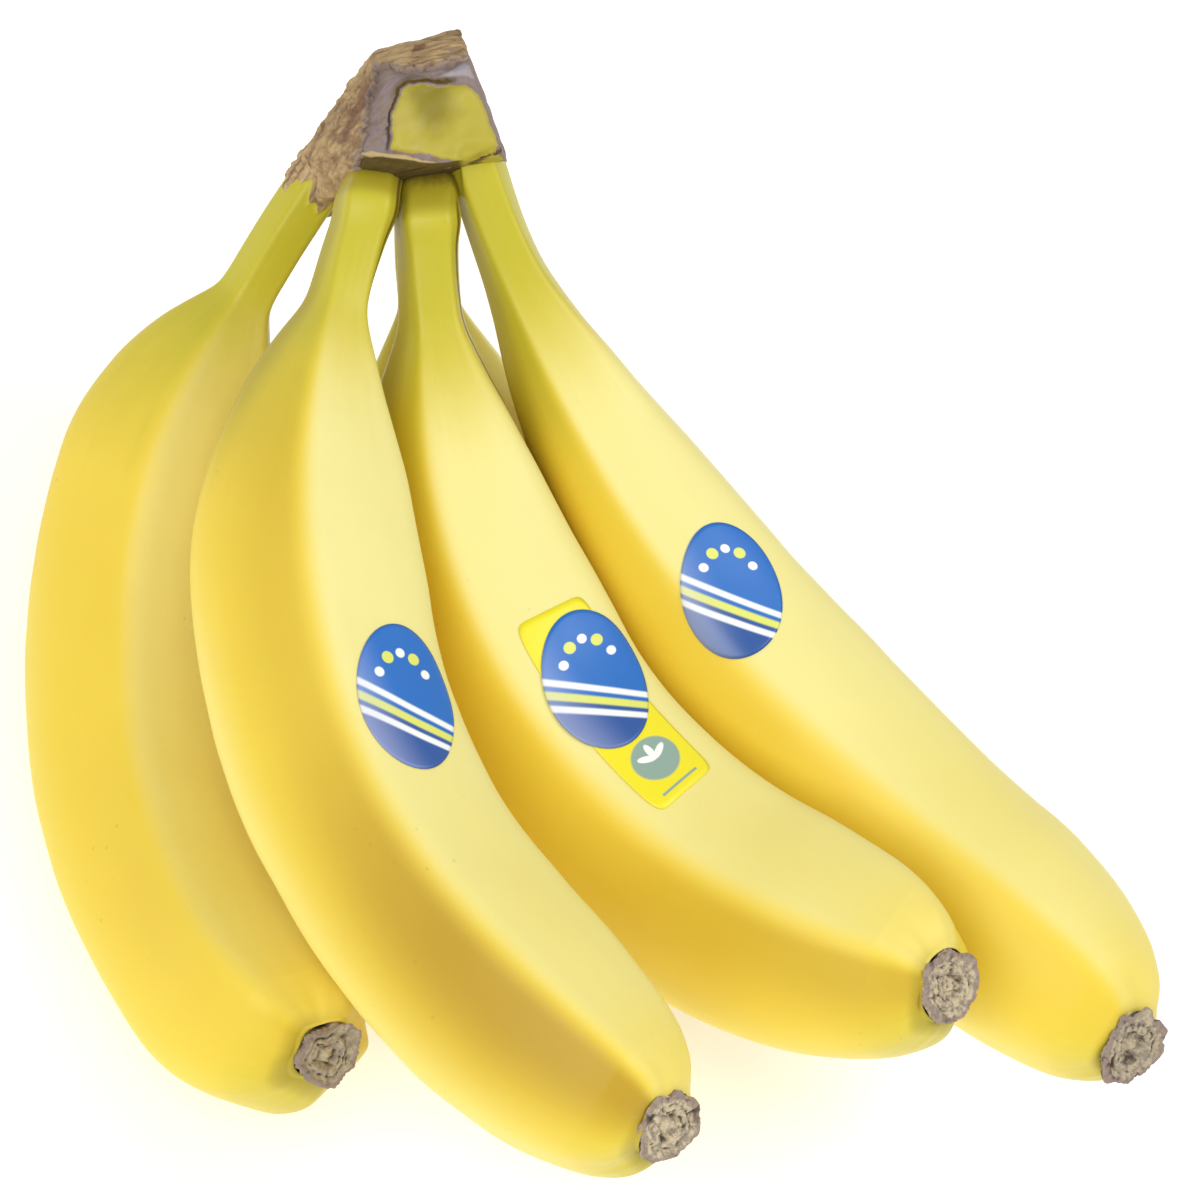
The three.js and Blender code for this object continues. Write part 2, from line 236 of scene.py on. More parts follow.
def outline_distance(a, b, corners, closed=True):
    """Distance of each point (a, b) from a line of corners, with a minus sign inside a closed outline."""
    nearest = np.full(a.shape, np.inf)
    inside = np.zeros(a.shape, bool)
    ends = corners[1:] + corners[:1] if closed else corners[1:]
    for (x0, y0), (x1, y1) in zip(corners, ends):
        dx, dy = x1 - x0, y1 - y0
        t = np.clip(((a - x0) * dx + (b - y0) * dy) / (dx * dx + dy * dy), 0, 1)
        nearest = np.minimum(nearest, np.hypot(a - x0 - t * dx, b - y0 - t * dy))
        if closed and dy:
            inside ^= ((y0 > b) != (y1 > b)) & (a < x0 + (b - y0) * dx / dy)
    return np.where(inside, -nearest, nearest) if closed else nearest


class Finger:
    """One banana as a tube round a bent centre line."""

    STEPS = 640
    # What a finger has unless its row says otherwise
    early, neck_turn, painted_highlight, waist, knuckle = 1, 0, 1.0, 0, (-3, 0)

    def __init__(self, name, root, leave, body, tip, neck_length, body_length, **sizes):
        self.name = name
        self.neck_length, self.length = neck_length, neck_length + body_length
        self.__dict__.update(sizes)
        s = np.linspace(0, self.length, self.STEPS + 1)
        x = np.clip((s - neck_length) / body_length, 0, 1)
        in_neck = between(heading(*leave), heading(*body), ease(s / neck_length))
        in_body = between(heading(*body), heading(*tip), 0.5 * x + 0.5 * ease(x))
        self.headings = np.where((s <= neck_length)[:, None], in_neck, in_body)
        steps = (self.headings[:-1] + self.headings[1:]) * (self.length / self.STEPS / 2)
        self.points = np.array(root) + CENTRED + np.vstack([np.zeros(3), np.cumsum(steps, axis=0)])

    def fullness(self, from_tip):
        """How full the section is: 1 along the body, 0 at the tip, (1 - (1 - d/taper)^2)^0.62."""
        return (1 - (1 - np.clip(from_tip / self.taper, 0, 1)) ** 2) ** 0.62

    def station(self, s):
        """Centre, heading and the two directions across it at each distance s: to FACING, and to its left."""
        x = np.clip(s / self.length, 0, 1) * self.STEPS
        i = np.minimum(self.STEPS - 1, x.astype(int))
        t = (x - i)[:, None]
        centre = self.points[i] * (1 - t) + self.points[i + 1] * t
        along = unit(self.headings[i] * (1 - t) + self.headings[i + 1] * t)
        centre = centre + along * np.where(s < 0, s, np.maximum(0, s - self.length))[:, None]
        front = unit(FACING - (along @ FACING)[:, None] * along)
        side = np.cross(along, front)
        shifted = (1 - self.fullness(self.length - s))[:, None]
        centre = centre + shifted * (self.tip_shift[0] * front + self.tip_shift[1] * side)
        return centre, along, front, side

    def round_radius(self, s):
        """Radius without ridges: the neck swells into the body, which shrinks to the tip by its fullness."""
        x = soft_above((s - self.swell[0]) / self.swell[1], 0.05)
        x = np.clip(x, 0, 1)
        swell = (1 - self.early) * ease(x) + self.early * (1 - (1 - x) ** 2)
        body = self.neck + (self.radius - self.neck) * swell
        return self.tip_radius + (body - self.tip_radius) * self.fullness(self.length - s)

    def ridge_phase(self, s, angle):
        """Angle from the front ridge, which turns evenly from root to tip and more quickly on the neck."""
        first, last = self.ridge
        ridge = first + (last - first) * s / self.length + self.neck_turn * bell(s, 0, 26)
        return angle - np.radians(ridge)

    def skin_radius(self, s, angle):
        """Five-sided section: round radius times 1 + a cos 5x + b cos 10x + c cos 15x, sharper on the neck."""
        phase = self.ridge_phase(s, angle)
        body = step(s, 22, 70)
        ridges = 0
        for k, (on_neck, on_body) in enumerate(zip(NECK_RIDGE, BODY_RIDGE), 1):
            ridges = ridges + (on_neck + (on_body * self.ridged - on_neck) * body) * np.cos(5 * k * phase)
        return self.round_radius(s) * (1 + ridges)

    def skin(self, s, angle, lift=0.0):
        """Points of the skin for arrays of distance and angle of one shape, raised by lift."""
        centre, _, front, side = self.station(s.ravel())
        r = (self.skin_radius(s, angle) + lift).ravel()[:, None]
        a = angle.ravel()[:, None]
        return (centre + r * (np.cos(a) * front + np.sin(a) * side)).reshape(*s.shape, 3)


def pushed_clear(points, other):
    """Points that lie in another finger move away from its centre line, out to its skin plus the gap."""
    flat = points.reshape(-1, 3)
    line = other.points[::4]
    square = (flat**2).sum(1)[:, None] + (line**2).sum(1) - 2 * flat @ line.T
    s = square.argmin(1) * (4 * other.length / other.STEPS)
    centre, along, front, side = other.station(s)
    s = s + ((flat - centre) * along).sum(1)
    centre, along, front, side = other.station(s)
    across = flat - centre
    across = across - (across * along).sum(1)[:, None] * along
    away = np.linalg.norm(across, axis=1)
    angle = np.arctan2((across * side).sum(1), (across * front).sum(1))
    depth = other.skin_radius(s, angle) + GAP - away
    within = band(s, -4, 0, other.length - 6, other.length - 1)
    push = soft_above(depth, GIVE) * within * (depth > -6 * GIVE)
    moved = flat + across / np.maximum(away, 0.5)[:, None] * push[:, None]
    return moved.reshape(points.shape), push.reshape(points.shape[:-1])


def make_mesh(name, points, faces, attributes=None):
    """A mesh object from points in millimetres and rows of four corners, the last -1 for a triangle."""
    mesh = bpy.data.meshes.new(name)
    sides = np.where(faces[:, 3] < 0, 3, 4)
    corners = faces[faces >= 0]
    starts = np.concatenate([[0], np.cumsum(sides)[:-1]])
    mesh.vertices.add(len(points))
    mesh.vertices.foreach_set("co", (points * MM).astype(np.float32).ravel())
    mesh.loops.add(len(corners))
    mesh.loops.foreach_set("vertex_index", corners.astype(np.int32))
    mesh.polygons.add(len(faces))
    mesh.polygons.foreach_set("loop_start", starts.astype(np.int32))
    mesh.update(calc_edges=True)
    mesh.validate()
    mesh.polygons.foreach_set("use_smooth", np.ones(len(mesh.polygons), bool))
    for key, values in (attributes or {}).items():
        kind = "FLOAT_VECTOR" if values.ndim == 2 else "FLOAT"
        layer = mesh.attributes.new(key, kind, "POINT")
        layer.data.foreach_set("vector" if values.ndim == 2 else "value", values.astype(np.float32).ravel())
    piece = bpy.data.objects.new(name, mesh)
    bpy.context.scene.collection.objects.link(piece)
    return piece


def tube_faces(rows, columns):
    """Faces of a grid of rows that close on themselves, with a middle point at the start and the end."""
    grid = np.arange(rows * columns).reshape(rows, columns)
    turned = np.roll(grid, -1, axis=1)
    quads = np.stack([grid[:-1], turned[:-1], turned[1:], grid[1:]], -1).reshape(-1, 4)
    first, last = rows * columns, rows * columns + 1
    none = np.full(columns, -1)
    start = np.stack([np.full(columns, first), turned[0], grid[0], none], -1)
    end = np.stack([np.full(columns, last), grid[-1], turned[-1], none], -1)
    return np.vstack([quads, start, end])


def with_middles(values):
    """A grid of values as a list, followed by the means of its first and last rows."""
    flat = values.reshape(-1, *values.shape[2:])
    return np.concatenate([flat, values[:1].mean(1), values[-1:].mean(1)])


def tube_mesh(name, points, attributes=None):
    """A closed surface from a grid of points whose rows run round it, shrunk to a point at both ends."""
    rows, columns = points.shape[:2]
    layers = {key: with_middles(values) for key, values in (attributes or {}).items()}
    return make_mesh(name, with_middles(points), tube_faces(rows, columns), layers)


class Value:
    """A number socket of a shader. Arithmetic on it adds Math nodes."""

    def __init__(self, paint, socket):
        self.paint, self.socket = paint, socket

    def math(self, operation, *others):
        node = self.paint.tree.nodes.new("ShaderNodeMath")
        node.operation = operation
        for entry, value in zip(node.inputs, others):
            self.paint.feed(entry, value)
        return Value(self.paint, node.outputs[0])

    def __add__(self, other):
        return self.math("ADD", self, other)

    def __sub__(self, other):
        return self.math("SUBTRACT", self, other)

    def __rsub__(self, other):
        return self.math("SUBTRACT", other, self)

    def __mul__(self, other):
        return self.math("MULTIPLY", self, other)

    __radd__ = __add__
    __rmul__ = __mul__

    def most(self, other):
        return self.math("MAXIMUM", self, other)

    def size(self):
        return self.math("ABSOLUTE", self)

    def step(self, low, high):
        """Smooth step from 0 at low to 1 at high."""
        return Value(self.paint, self.paint.node(
            "ShaderNodeMapRange", dict(interpolation_type="SMOOTHSTEP"), [self, low, high, 0.0, 1.0],
        ).outputs[0])


class Paint:
    """One material and its nodes."""

    def __init__(self, name):
        self.material = bpy.data.materials.new(name)
        self.material.use_nodes = True
        self.tree = self.material.node_tree
        self.shader = self.tree.nodes["Principled BSDF"]

    def feed(self, entry, value):
        """Links a socket, or sets a number or colour on it."""
        if isinstance(value, Value):
            self.tree.links.new(value.socket, entry)
        elif isinstance(value, bpy.types.NodeSocket):
            self.tree.links.new(value, entry)
        elif value is not None:
            entry.default_value = value

    def node(self, kind, settings=None, inputs=()):
        """A node of a type, its settings first, then its sockets in order or by name."""
        node = self.tree.nodes.new(kind)
        for key, value in (settings or {}).items():
            setattr(node, key, value)
        pairs = inputs.items() if isinstance(inputs, dict) else enumerate(inputs)
        for key, value in pairs:
            self.feed(node.inputs[key], value)
        return node

    def attribute(self, name):
        return Value(self, self.node("ShaderNodeAttribute", dict(attribute_name=name)).outputs["Fac"])

    def place(self, name):
        return self.node("ShaderNodeAttribute", dict(attribute_name=name)).outputs["Vector"]

    def coordinates(self):
        return self.node("ShaderNodeTexCoord").outputs["Object"]

    def scaled(self, vector, scale):
        return self.node("ShaderNodeMapping", None, {"Vector": vector, "Scale": scale}).outputs[0]

    def noise(self, vector, scale, detail=3.0, roughness=0.55):
        sockets = {"Vector": vector, "Scale": scale, "Detail": detail, "Roughness": roughness}
        return Value(self, self.node("ShaderNodeTexNoise", None, sockets).outputs[0])

    def cells(self, vector, scale):
        sockets = {"Vector": vector, "Scale": scale}
        return Value(self, self.node("ShaderNodeTexVoronoi", None, sockets).outputs["Distance"])

    def where(self, name, unevenness, low, high):
        """Smooth step from low to high of one of the mesh's marks, made uneven."""
        return (self.attribute(name) + unevenness).step(low, high)

    def mix(self, share, a, b):
        """Colour a where share is 0 and b where it is 1."""
        node = self.node("ShaderNodeMix", dict(data_type="RGBA"))
        for index, value in ((0, share), (6, a), (7, b)):
            self.feed(node.inputs[index], value)
        return node.outputs[2]

    def bump(self, height, distance, strength):
        sockets = {"Strength": strength, "Distance": distance, "Height": height}
        return self.node("ShaderNodeBump", None, sockets).outputs[0]

    def set(self, **sockets):
        """Feeds the surface shader: an underscore in a name stands for a space."""
        for key, value in sockets.items():
            self.feed(self.shader.inputs[key.replace("_", " ")], value)
        return self.material


def colour(code):
    """A scene colour from a six-digit screen colour."""
    parts = [int(code[i:i + 2], 16) / 255 for i in (0, 2, 4)]
    return tuple(c / 12.92 if c <= 0.04045 else ((c + 0.055) / 1.055) ** 2.4 for c in parts) + (1.0,)


def colour_property(name, code, description):
    return bpy.props.FloatVectorProperty(
        name=name, description=description, subtype="COLOR", size=4, min=0, max=1, default=colour(code),
    )


def number_property(name, default, description, **limits):
    return bpy.props.FloatProperty(name=name, description=description, default=default, min=0, **limits)


def count_property(name, default, low, high, description):
    return bpy.props.IntProperty(name=name, description=description, default=default, min=low, max=high)


class BananaSkinSettings(bpy.types.PropertyGroup):
    """Sizes and colours of the five skins."""

    rings: count_property("Rings", 300, 40, 400, "Rings of points along a finger")
    around: count_property("Points round", 144, 24, 240, "Points round a finger")
    dent: number_property("Unevenness", 0.00016, "How far the skin waves in and out", max=0.002, unit="LENGTH")
    # Pale is a painted highlight on the faces turned to the light; golden and ochre are painted shade on those
    # turned away; olive and brown are painted shade in crevices, recesses and between fingers, and brown is also
    # the real flecks
    yellow: colour_property("Yellow", "ecd24a", "Ripe skin")
    pale: colour_property("Pale yellow", "ece395", "Ripe skin on its lightest faces")
    golden: colour_property("Golden", "e9c436", "Deeper yellow of the shaded faces")
    green: colour_property("Green", "c1b733", "Necks and the skin round the blossom end")
    ochre: colour_property("Ochre", "a8801a", "Shade to the left of the front ridge")
    olive: colour_property("Olive", "917e1e", "Shade of the skin next to the stub")
    brown: colour_property("Brown", "5f4420", "Stains where fingers press and where the stub joins")


class BananaCrownSettings(bpy.types.PropertyGroup):
    """Sizes and colours of the crown."""

    face: colour_property("Face", "b3a637", "Green-yellow outer face")
    valley: colour_property("Valley", "8a7d22", "Darker middle of the face")
    band: colour_property("Band", "8d7d7b", "Purple-grey dried edge")
    silver: colour_property("Silver", "a49ca0", "Pale grey bevel above the face")
    lip: colour_property("Lip", "b8a070", "Tan rim under the face")
    # Underside: painted shade in the recess under the lip, also the colour of the dark crack lines
    under: colour_property("Underside", "5d4c20", "Dark brown recess under the lip")
    cork_light: colour_property("Cork light", "c3a679", "Raised fibres of the cut sides")
    cork_dark: colour_property("Cork dark", "8a7152", "Grooves of the cut sides")
    cork_red: colour_property("Cork red", "6e4a3c", "Reddish-brown flecks of the cut sides")
    cork_inset: number_property(
        "Cork depth", 0.0009, "Depth of the green block behind the cut sides", max=0.003, unit="LENGTH",
    )


class BananaStubSettings(bpy.types.PropertyGroup):
    """Colours of the dried blossom ends."""

    grey: colour_property("Grey", "a39685", "Smooth dried skin")
    tan: colour_property("Tan", "dccba8", "Folded plates")
    mauve: colour_property("Mauve", "957f79", "Rim")
    # Dark: painted shade in the crevices, pits and hollow of the stub
    dark: colour_property("Dark", "3a2c22", "Crevices")


class BananaStickerSettings(bpy.types.PropertyGroup):
    """Colours of the stickers."""

    blue: colour_property("Blue", "1f6cc0", "Field of the oval stickers")
    deep_blue: colour_property("Deep blue", "2a559c", "Field below the bands")
    yellow: colour_property("Yellow", "f0e222", "Strip")
    # Painted sheen laid over the print towards the bunch's left
    painted_sheen: colour_property("Sheen", "c9cfee", "Worn side of the print")
    lime: colour_property("Lime", "dfe36a", "Thin band and dots")
    white: colour_property("White", "f4f6f2", "Bands, dots and leaves")
    grey: colour_property("Grey green", "8fa99b", "Disc on the strip")


class BananaStageSettings(bpy.types.PropertyGroup):
    """Light and floor."""

    key_power: number_property("Key light", 3.3, "Power of the soft light from the right", unit="POWER")
    fill_power: number_property("Fill light", 5.5, "Power of the soft light near the camera", unit="POWER")
    world_strength: number_property("Surroundings", 0.50, "Strength of the white surroundings")
    floor: colour_property("Floor", "fbfaf8", "Pale floor")


def skin_material(paint_name, settings, cork):
    """Ripe skin: yellow, with a painted highlight on the faces turned to the light and painted golden, ochre and
    olive shade on those turned away, green at neck and tip, brown painted shade in crevices, recesses and where
    fingers press, faint streaks and brown flecks.
    """
    p = Paint(paint_name)
    place, straight = p.coordinates(), p.place("straight")
    broad = p.noise(place, 24.0, 2.0)
    patches = p.noise(place, 75.0, 3.0)
    streaks = p.noise(p.scaled(straight, (0.10, 1.0, 1.0)), 420.0, 4.0, 0.6)
    fine = p.noise(place, 900.0, 3.0, 0.6)
    # Painted highlight: pale yellow on the faces turned to the light, along the ridges and near the left edge
    pale = p.where("pale", 0.3 * (broad - 0.5), 0.0, 1.0)
    base = p.mix(pale, settings.yellow, settings.pale)
    # Painted shade: golden on the faces left of the front ridge, turned away from the light
    golden = p.where("golden", 0.25 * (broad - 0.5) + 0.10 * (streaks - 0.5), 0.0, 1.0)
    base = p.mix(golden, base, settings.golden)
    green = p.where("green", 0.22 * (patches - 0.5) + 0.2 * (streaks - 0.5), 0.05, 0.95)
    base = p.mix(green, base, settings.green)
    # Painted shade: ochre beside the front ridge on the side turned away from the light
    ochre = p.where("ochre", 0.2 * (broad - 0.5), 0.05, 1.0)
    base = p.mix(ochre * 0.85, base, settings.ochre)
    # Painted shade: olive next to the stub, on the neck's left facet and where the neck turns into the crown
    painted_olive_shade = p.where("painted_olive_shade", 0.2 * (broad - 0.5), 0.1, 1.1)
    base = p.mix(painted_olive_shade * 0.55, base, settings.olive)
    # Painted shade: brown in the crevice round the stub, at the neck's top under the crown, down a neck's side in
    # the next one's shadow, and where fingers press
    painted_brown_shade = p.where("painted_brown_shade", 0.35 * (streaks - 0.5) + 0.3 * (fine - 0.5), 0.25, 0.85)
    base = p.mix(painted_brown_shade * 0.9, base, settings.brown)
    flecks = (1 - p.cells(place, 210.0).step(0.03, 0.10)) * broad.step(0.52, 0.62)
    base = p.mix(flecks * 0.16, base, settings.brown)
    ragged = p.where("dry", 0.5 * (streaks - 0.5) + 0.3 * (fine - 0.5), 0.42, 0.58)
    fibres = p.mix(streaks.step(0.35, 0.65), cork.cork_dark, cork.cork_light)
    fibres = p.mix((fine - 0.5).step(0.05, 0.2) * 0.6, fibres, cork.cork_red)
    base = p.mix(ragged, base, fibres)
    relief = streaks * (0.4 + 1.6 * ragged) + fine * (0.25 + 0.8 * ragged)
    return p.set(
        Base_Color=base,
        Roughness=0.42 - 0.10 * green + 0.08 * fine + 0.12 * painted_brown_shade + 0.3 * ragged,
        Normal=p.bump(relief, 0.00014, 0.5),
        Subsurface_Weight=0.10, Subsurface_Radius=(1.0, 0.55, 0.12), Subsurface_Scale=0.002,
        Specular_IOR_Level=0.30,
    )


def crown_material(settings):
    """Green-yellow face with a darker valley, purple-grey dried band, tan lip, dark crack lines, and dark brown
    painted shade on the underside and in the recess under the lip.
    """
    p = Paint("crown_skin")
    place = p.coordinates()
    fine = p.noise(place, 1500.0, 4.0, 0.65)
    medium = p.noise(place, 420.0, 4.0, 0.6)
    broad = p.noise(place, 120.0, 3.0)
    base = p.mix(p.where("valley", 0.35 * (medium - 0.5), 0.1, 1.0), settings.face, settings.valley)
    base = p.mix((broad - 0.5).step(0.0, 0.25) * 0.3, base, settings.lip)
    dried = p.mix((medium + 0.4 * fine).step(0.35, 0.80), settings.cork_dark, settings.band)
    dried = p.mix(p.attribute("silver") * 0.9, dried, settings.silver)
    base = p.mix(p.where("dry", 0.3 * (fine - 0.5), 0.35, 0.65), base, dried)
    base = p.mix(p.where("lip", 0.5 * (fine - 0.5), 0.3, 0.7), base, settings.lip)
    # Painted shade: dark brown on the faces turned down and in the recess under the lip, with the dark crack lines
    base = p.mix(p.where("dark", 0.3 * (fine - 0.5), 0.3, 0.8), base, settings.under)
    dry = p.attribute("dry").most(p.attribute("dark"))
    return p.set(
        Base_Color=base,
        Roughness=0.45 + 0.3 * dry + 0.1 * fine,
        Normal=p.bump(medium * (0.3 + 0.7 * dry) + fine * 0.5 * dry, 0.0004, 0.6),
        Subsurface_Weight=0.06, Subsurface_Radius=(1.0, 0.7, 0.2), Subsurface_Scale=0.001,
        Specular_IOR_Level=0.4,
    )


def cork_material(settings):
    """Dried cut tissue: fibres along the cut with reddish-brown grooves, greyer along its edges."""
    p = Paint("dried_cut")
    place = p.place("fibre")
    fibres = p.noise(p.scaled(place, (0.22, 1.0, 1.0)), 900.0, 5.0, 0.65)
    lumps = p.noise(place, 330.0, 4.0, 0.6)
    fine = p.noise(p.coordinates(), 2600.0, 3.0, 0.6)
    patches = p.noise(place, 150.0, 2.0)
    grain = fibres * 0.55 + lumps * 0.35 + fine * 0.1 + (p.attribute("relief") - 0.5) * 0.3
    base = p.mix(grain.step(0.36, 0.66), settings.cork_dark, settings.cork_light)
    base = p.mix((patches - 0.5).step(0.0, 0.2) * 0.35, base, settings.lip)
    flecks = (1 - lumps.step(0.34, 0.44)) * fibres.step(0.30, 0.60)
    base = p.mix(flecks * 0.8, base, settings.cork_red)
    streak = p.where("streak", 1.3 * (lumps - 0.5), 0.45, 0.80)
    base = p.mix(streak * 0.65, base, settings.cork_red)
    base = p.mix(p.where("edge", 0.35 * (lumps - 0.5), 0.35, 0.8) * 0.65, base, settings.band)
    return p.set(
        Base_Color=base,
        Roughness=0.80 + 0.12 * fine,
        Normal=p.bump(fibres + lumps * 0.8 + fine * 0.3, 0.0006, 0.7),
        Specular_IOR_Level=0.25,
    )


def stub_material(name, tint, settings):
    """Dried blossom end: grey to tan plates, mauve rim, dark painted shade in the crevices, fine wrinkles."""
    p = Paint(name)
    place = p.coordinates()
    wrinkles = p.noise(place, 1100.0, 5.0, 0.65)
    fine = p.noise(place, 4200.0, 3.0, 0.6)
    lumps = p.noise(place, 380.0, 3.0)
    plates = p.mix((wrinkles + 0.5 * (lumps - 0.5)).step(0.38, 0.58), settings.grey, settings.tan)
    base = p.mix(tint, settings.grey, plates)
    base = p.mix(p.attribute("button") * 0.5, base, settings.tan)
    base = p.mix(p.where("rim", 0.6 * (lumps - 0.5), 0.3, 1.0) * 0.7, base, settings.mauve)
    # Painted shade: dark in the crevices, pits and hollow
    dark = p.where("crevice_shade", 0.5 * (0.5 - wrinkles), 0.15, 1.05)
    base = p.mix(dark * 0.85, base, settings.dark)
    return p.set(
        Base_Color=base,
        Roughness=0.66 + 0.2 * fine,
        Normal=p.bump(wrinkles + 0.25 * fine, 0.0008, 0.9),
        Specular_IOR_Level=0.35,
    )


def printed(p, base, distance, half, ink, blur=0.02):
    """Ink laid over a base within half of a line, given the distance from it."""
    return p.mix(1 - distance.step(half - blur, half + blur), base, ink)


def strip_ink(p, settings, along, across):
    """Yellow strip: a grey-green disc with a pale sprig of three leaves, and a thin rule below it."""
    x, y = (along - 0.60) * 3.24, across * 1.0
    base = printed(p, settings.yellow, x * x + y * y, 0.44, settings.grey, 0.05)
    for turn in (-60, 0, 60):
        a = math.radians(turn)
        u, v = x * math.cos(a) + y * math.sin(a) + 0.24, y * math.cos(a) - x * math.sin(a)
        base = printed(p, base, u * u * 9.0 + v * v * 60.0, 0.6, settings.white, 0.12)
    rule = (along - 0.90).size() * 20.0
    ends = (across.size() - 0.6) * 20.0
    return printed(p, base, rule.most(ends), 0.25, settings.grey, 0.1)


def oval_ink(p, settings, along, across):
    """Blue oval: two pale bands aslant with a lime one between, deeper blue below, and an arc of dots above."""
    slope = along * 0.94 + across * 0.34 - 0.30
    base = p.mix(slope.step(0.0, 0.04), settings.blue, settings.deep_blue)
    base = printed(p, base, (slope.size() - 0.17).size(), 0.045, settings.white)
    base = printed(p, base, slope.size(), 0.055, settings.lime)
    for turn in range(5):
        a = math.radians(-56 + 28 * turn)
        x, y = 0.02 - 0.62 * math.cos(a), 0.62 * math.sin(a)
        dot = (along - x) * (along - x) * 2.4 + (across - y) * (across - y)
        size, ink = (0.016, settings.lime) if turn % 2 else (0.010, settings.white)
        base = printed(p, base, dot, size, ink, 0.003)
    # Painted sheen: the print is painted paler towards the bunch's left, as a reflection
    painted_sheen = (across * 0.85 + along * 0.35).step(0.1, 1.1)
    base = p.mix(painted_sheen * 0.42, base, settings.painted_sheen)
    return base


def sticker_material(name, settings, strip):
    """Printed paper from the sticker's own map, which runs from -1 to 1 along and across it."""
    p = Paint(name)
    position = p.node("ShaderNodeSeparateXYZ", None, [p.place("printed")])
    along, across = Value(p, position.outputs[0]), Value(p, position.outputs[1])
    grain = p.noise(p.coordinates(), 2500.0, 2.0)
    return p.set(
        Base_Color=(strip_ink if strip else oval_ink)(p, settings, along, across),
        Roughness=0.34 + 0.08 * grain,
        Normal=p.bump(grain, 0.00004, 0.3),
        Specular_IOR_Level=0.5,
    )


def settle_on_floor(points, softness=0.5):
    """Points below the floor come up to it, and those just above rise a little, as soft fruit does."""
    level = soft_above(points[..., 2], softness)
    low = step(points[..., 2], 3.0, 0.0)
    return np.concatenate([points[..., :2], np.where(low > 0, level, points[..., 2])[..., None]], -1)


def finger_grid(finger, rings, around):
    """Distances and angles of a finger's rings: place along the centre line, and the place whose radius is used.

    The rings run evenly to the blunt end, follow it up to a lip round the stub, which lies lower on the side
    that the stub's face turns to, and roll over the lip into a crevice.
    """
    length, stub = finger.length, finger.stub
    blunt, roll = rings // 7, 16
    x = np.linspace(0, 1, rings - blunt - roll)
    plain = -ROOT + (length - BLUNT_END + ROOT) * (x - 0.05 * np.sin(2 * math.pi * x))
    angle = np.arange(around) * (2 * math.pi / around)
    rim = length - LIP_BACK - STUB_SEAT * math.sin(math.radians(stub["nod"])) * np.cos(angle)
    rim = rim + 0.25 * np.cos(4 * angle + length)
    near = (1 - np.arange(1, blunt + 1) / blunt)[:, None] ** 1.5
    ends = rim - (rim - length + BLUNT_END) * near
    shape = length - BLUNT_END * near + 0 * rim
    turn = (np.arange(1, roll + 1) / roll)[:, None]
    over = np.where(turn < 0.6, LIP_HIGH * np.sin(turn / 0.6 * math.pi), -CREVICE * (turn - 0.6) / 0.4)
    inward = 1 - 0.5 * (1 - np.minimum(turn / 0.6, 1)) ** 1.5
    shoulder = 0.5 * (np.arange(1, blunt + 1) / blunt)[:, None] ** 4
    place = np.vstack([plain[:, None] + 0 * rim, ends, rim + over])
    shape = np.vstack([plain[:, None] + 0 * rim, shape, length + 0 * (turn + rim)])
    inward = np.vstack([np.zeros((rings - roll - blunt, around)), shoulder + 0 * rim, inward + 0 * rim])
    return place, shape, inward, np.broadcast_to(angle, place.shape)


def uneven_skin(points, s, out, dent):
    """Points of a skin moved in and out along a direction by long soft waves, none at the neck."""
    moved = dent / MM * (waves(points, 30, 11) + 0.35 * waves(points, 12, 12)) * step(s, 6, 30)
    return points + out * moved[..., None]


def finger_surface(finger, before, rings, around, dent):
    """Grid of a finger's skin, by distance and angle, with knuckle, pucker, unevenness and pressed sides."""
    place, s, inward, angle = finger_grid(finger, rings, around)
    centre, _, front, side = (v.reshape(*place.shape, 3) for v in finger.station(place.ravel()))
    out = np.cos(angle)[..., None] * front + np.sin(angle)[..., None] * side
    from_tip = finger.length - s
    # Skin puckers into small folds against the stub
    phase = finger.ridge_phase(s, angle)
    folds = 0.40 * np.cos(5 * phase) + 0.16 * np.cos(11 * angle + finger.radius) + 0.09 * np.cos(19 * angle + 1)
    radius = finger.skin_radius(s, angle) * (1 - finger.waist * bell(s, 23, 13))
    # The root narrows out of sight in the crown
    radius = radius * (1 - 0.45 * (1 - step(s, -5, 1.5))) + folds * (1 - step(from_tip, -1, 7))
    # The lip of the skin rolls in to the stub, which leans forward
    stub = finger.stub
    seat = np.minimum(0.98 * stub["radius"], radius - 0.4)
    radius = radius + (seat - radius) * inward
    lean = inward * 1.6 * math.sin(math.radians(0.25 * stub["nod"]))
    points = uneven_skin(centre + out * radius[..., None], s, out, dent)
    points = points + front * lean[..., None] + side * (inward * stub["shift"])[..., None]
    # The neck bends back into the crown above its knuckle
    top, depth = finger.knuckle
    back = np.clip((top + 3.4 - s) / 5.5, 0, 1.9) ** 2 * depth * 0.42
    swollen = 0.5 * bell(s, top + 4, 3.0) * (depth > 0)
    points = points - front * back[..., None] + out * swollen[..., None]
    pressed = np.zeros(s.shape)
    for other in before:
        points, push = pushed_clear(points, other)
        pressed = np.maximum(pressed, push)
    return s, angle, inward, settle_on_floor(points), pressed


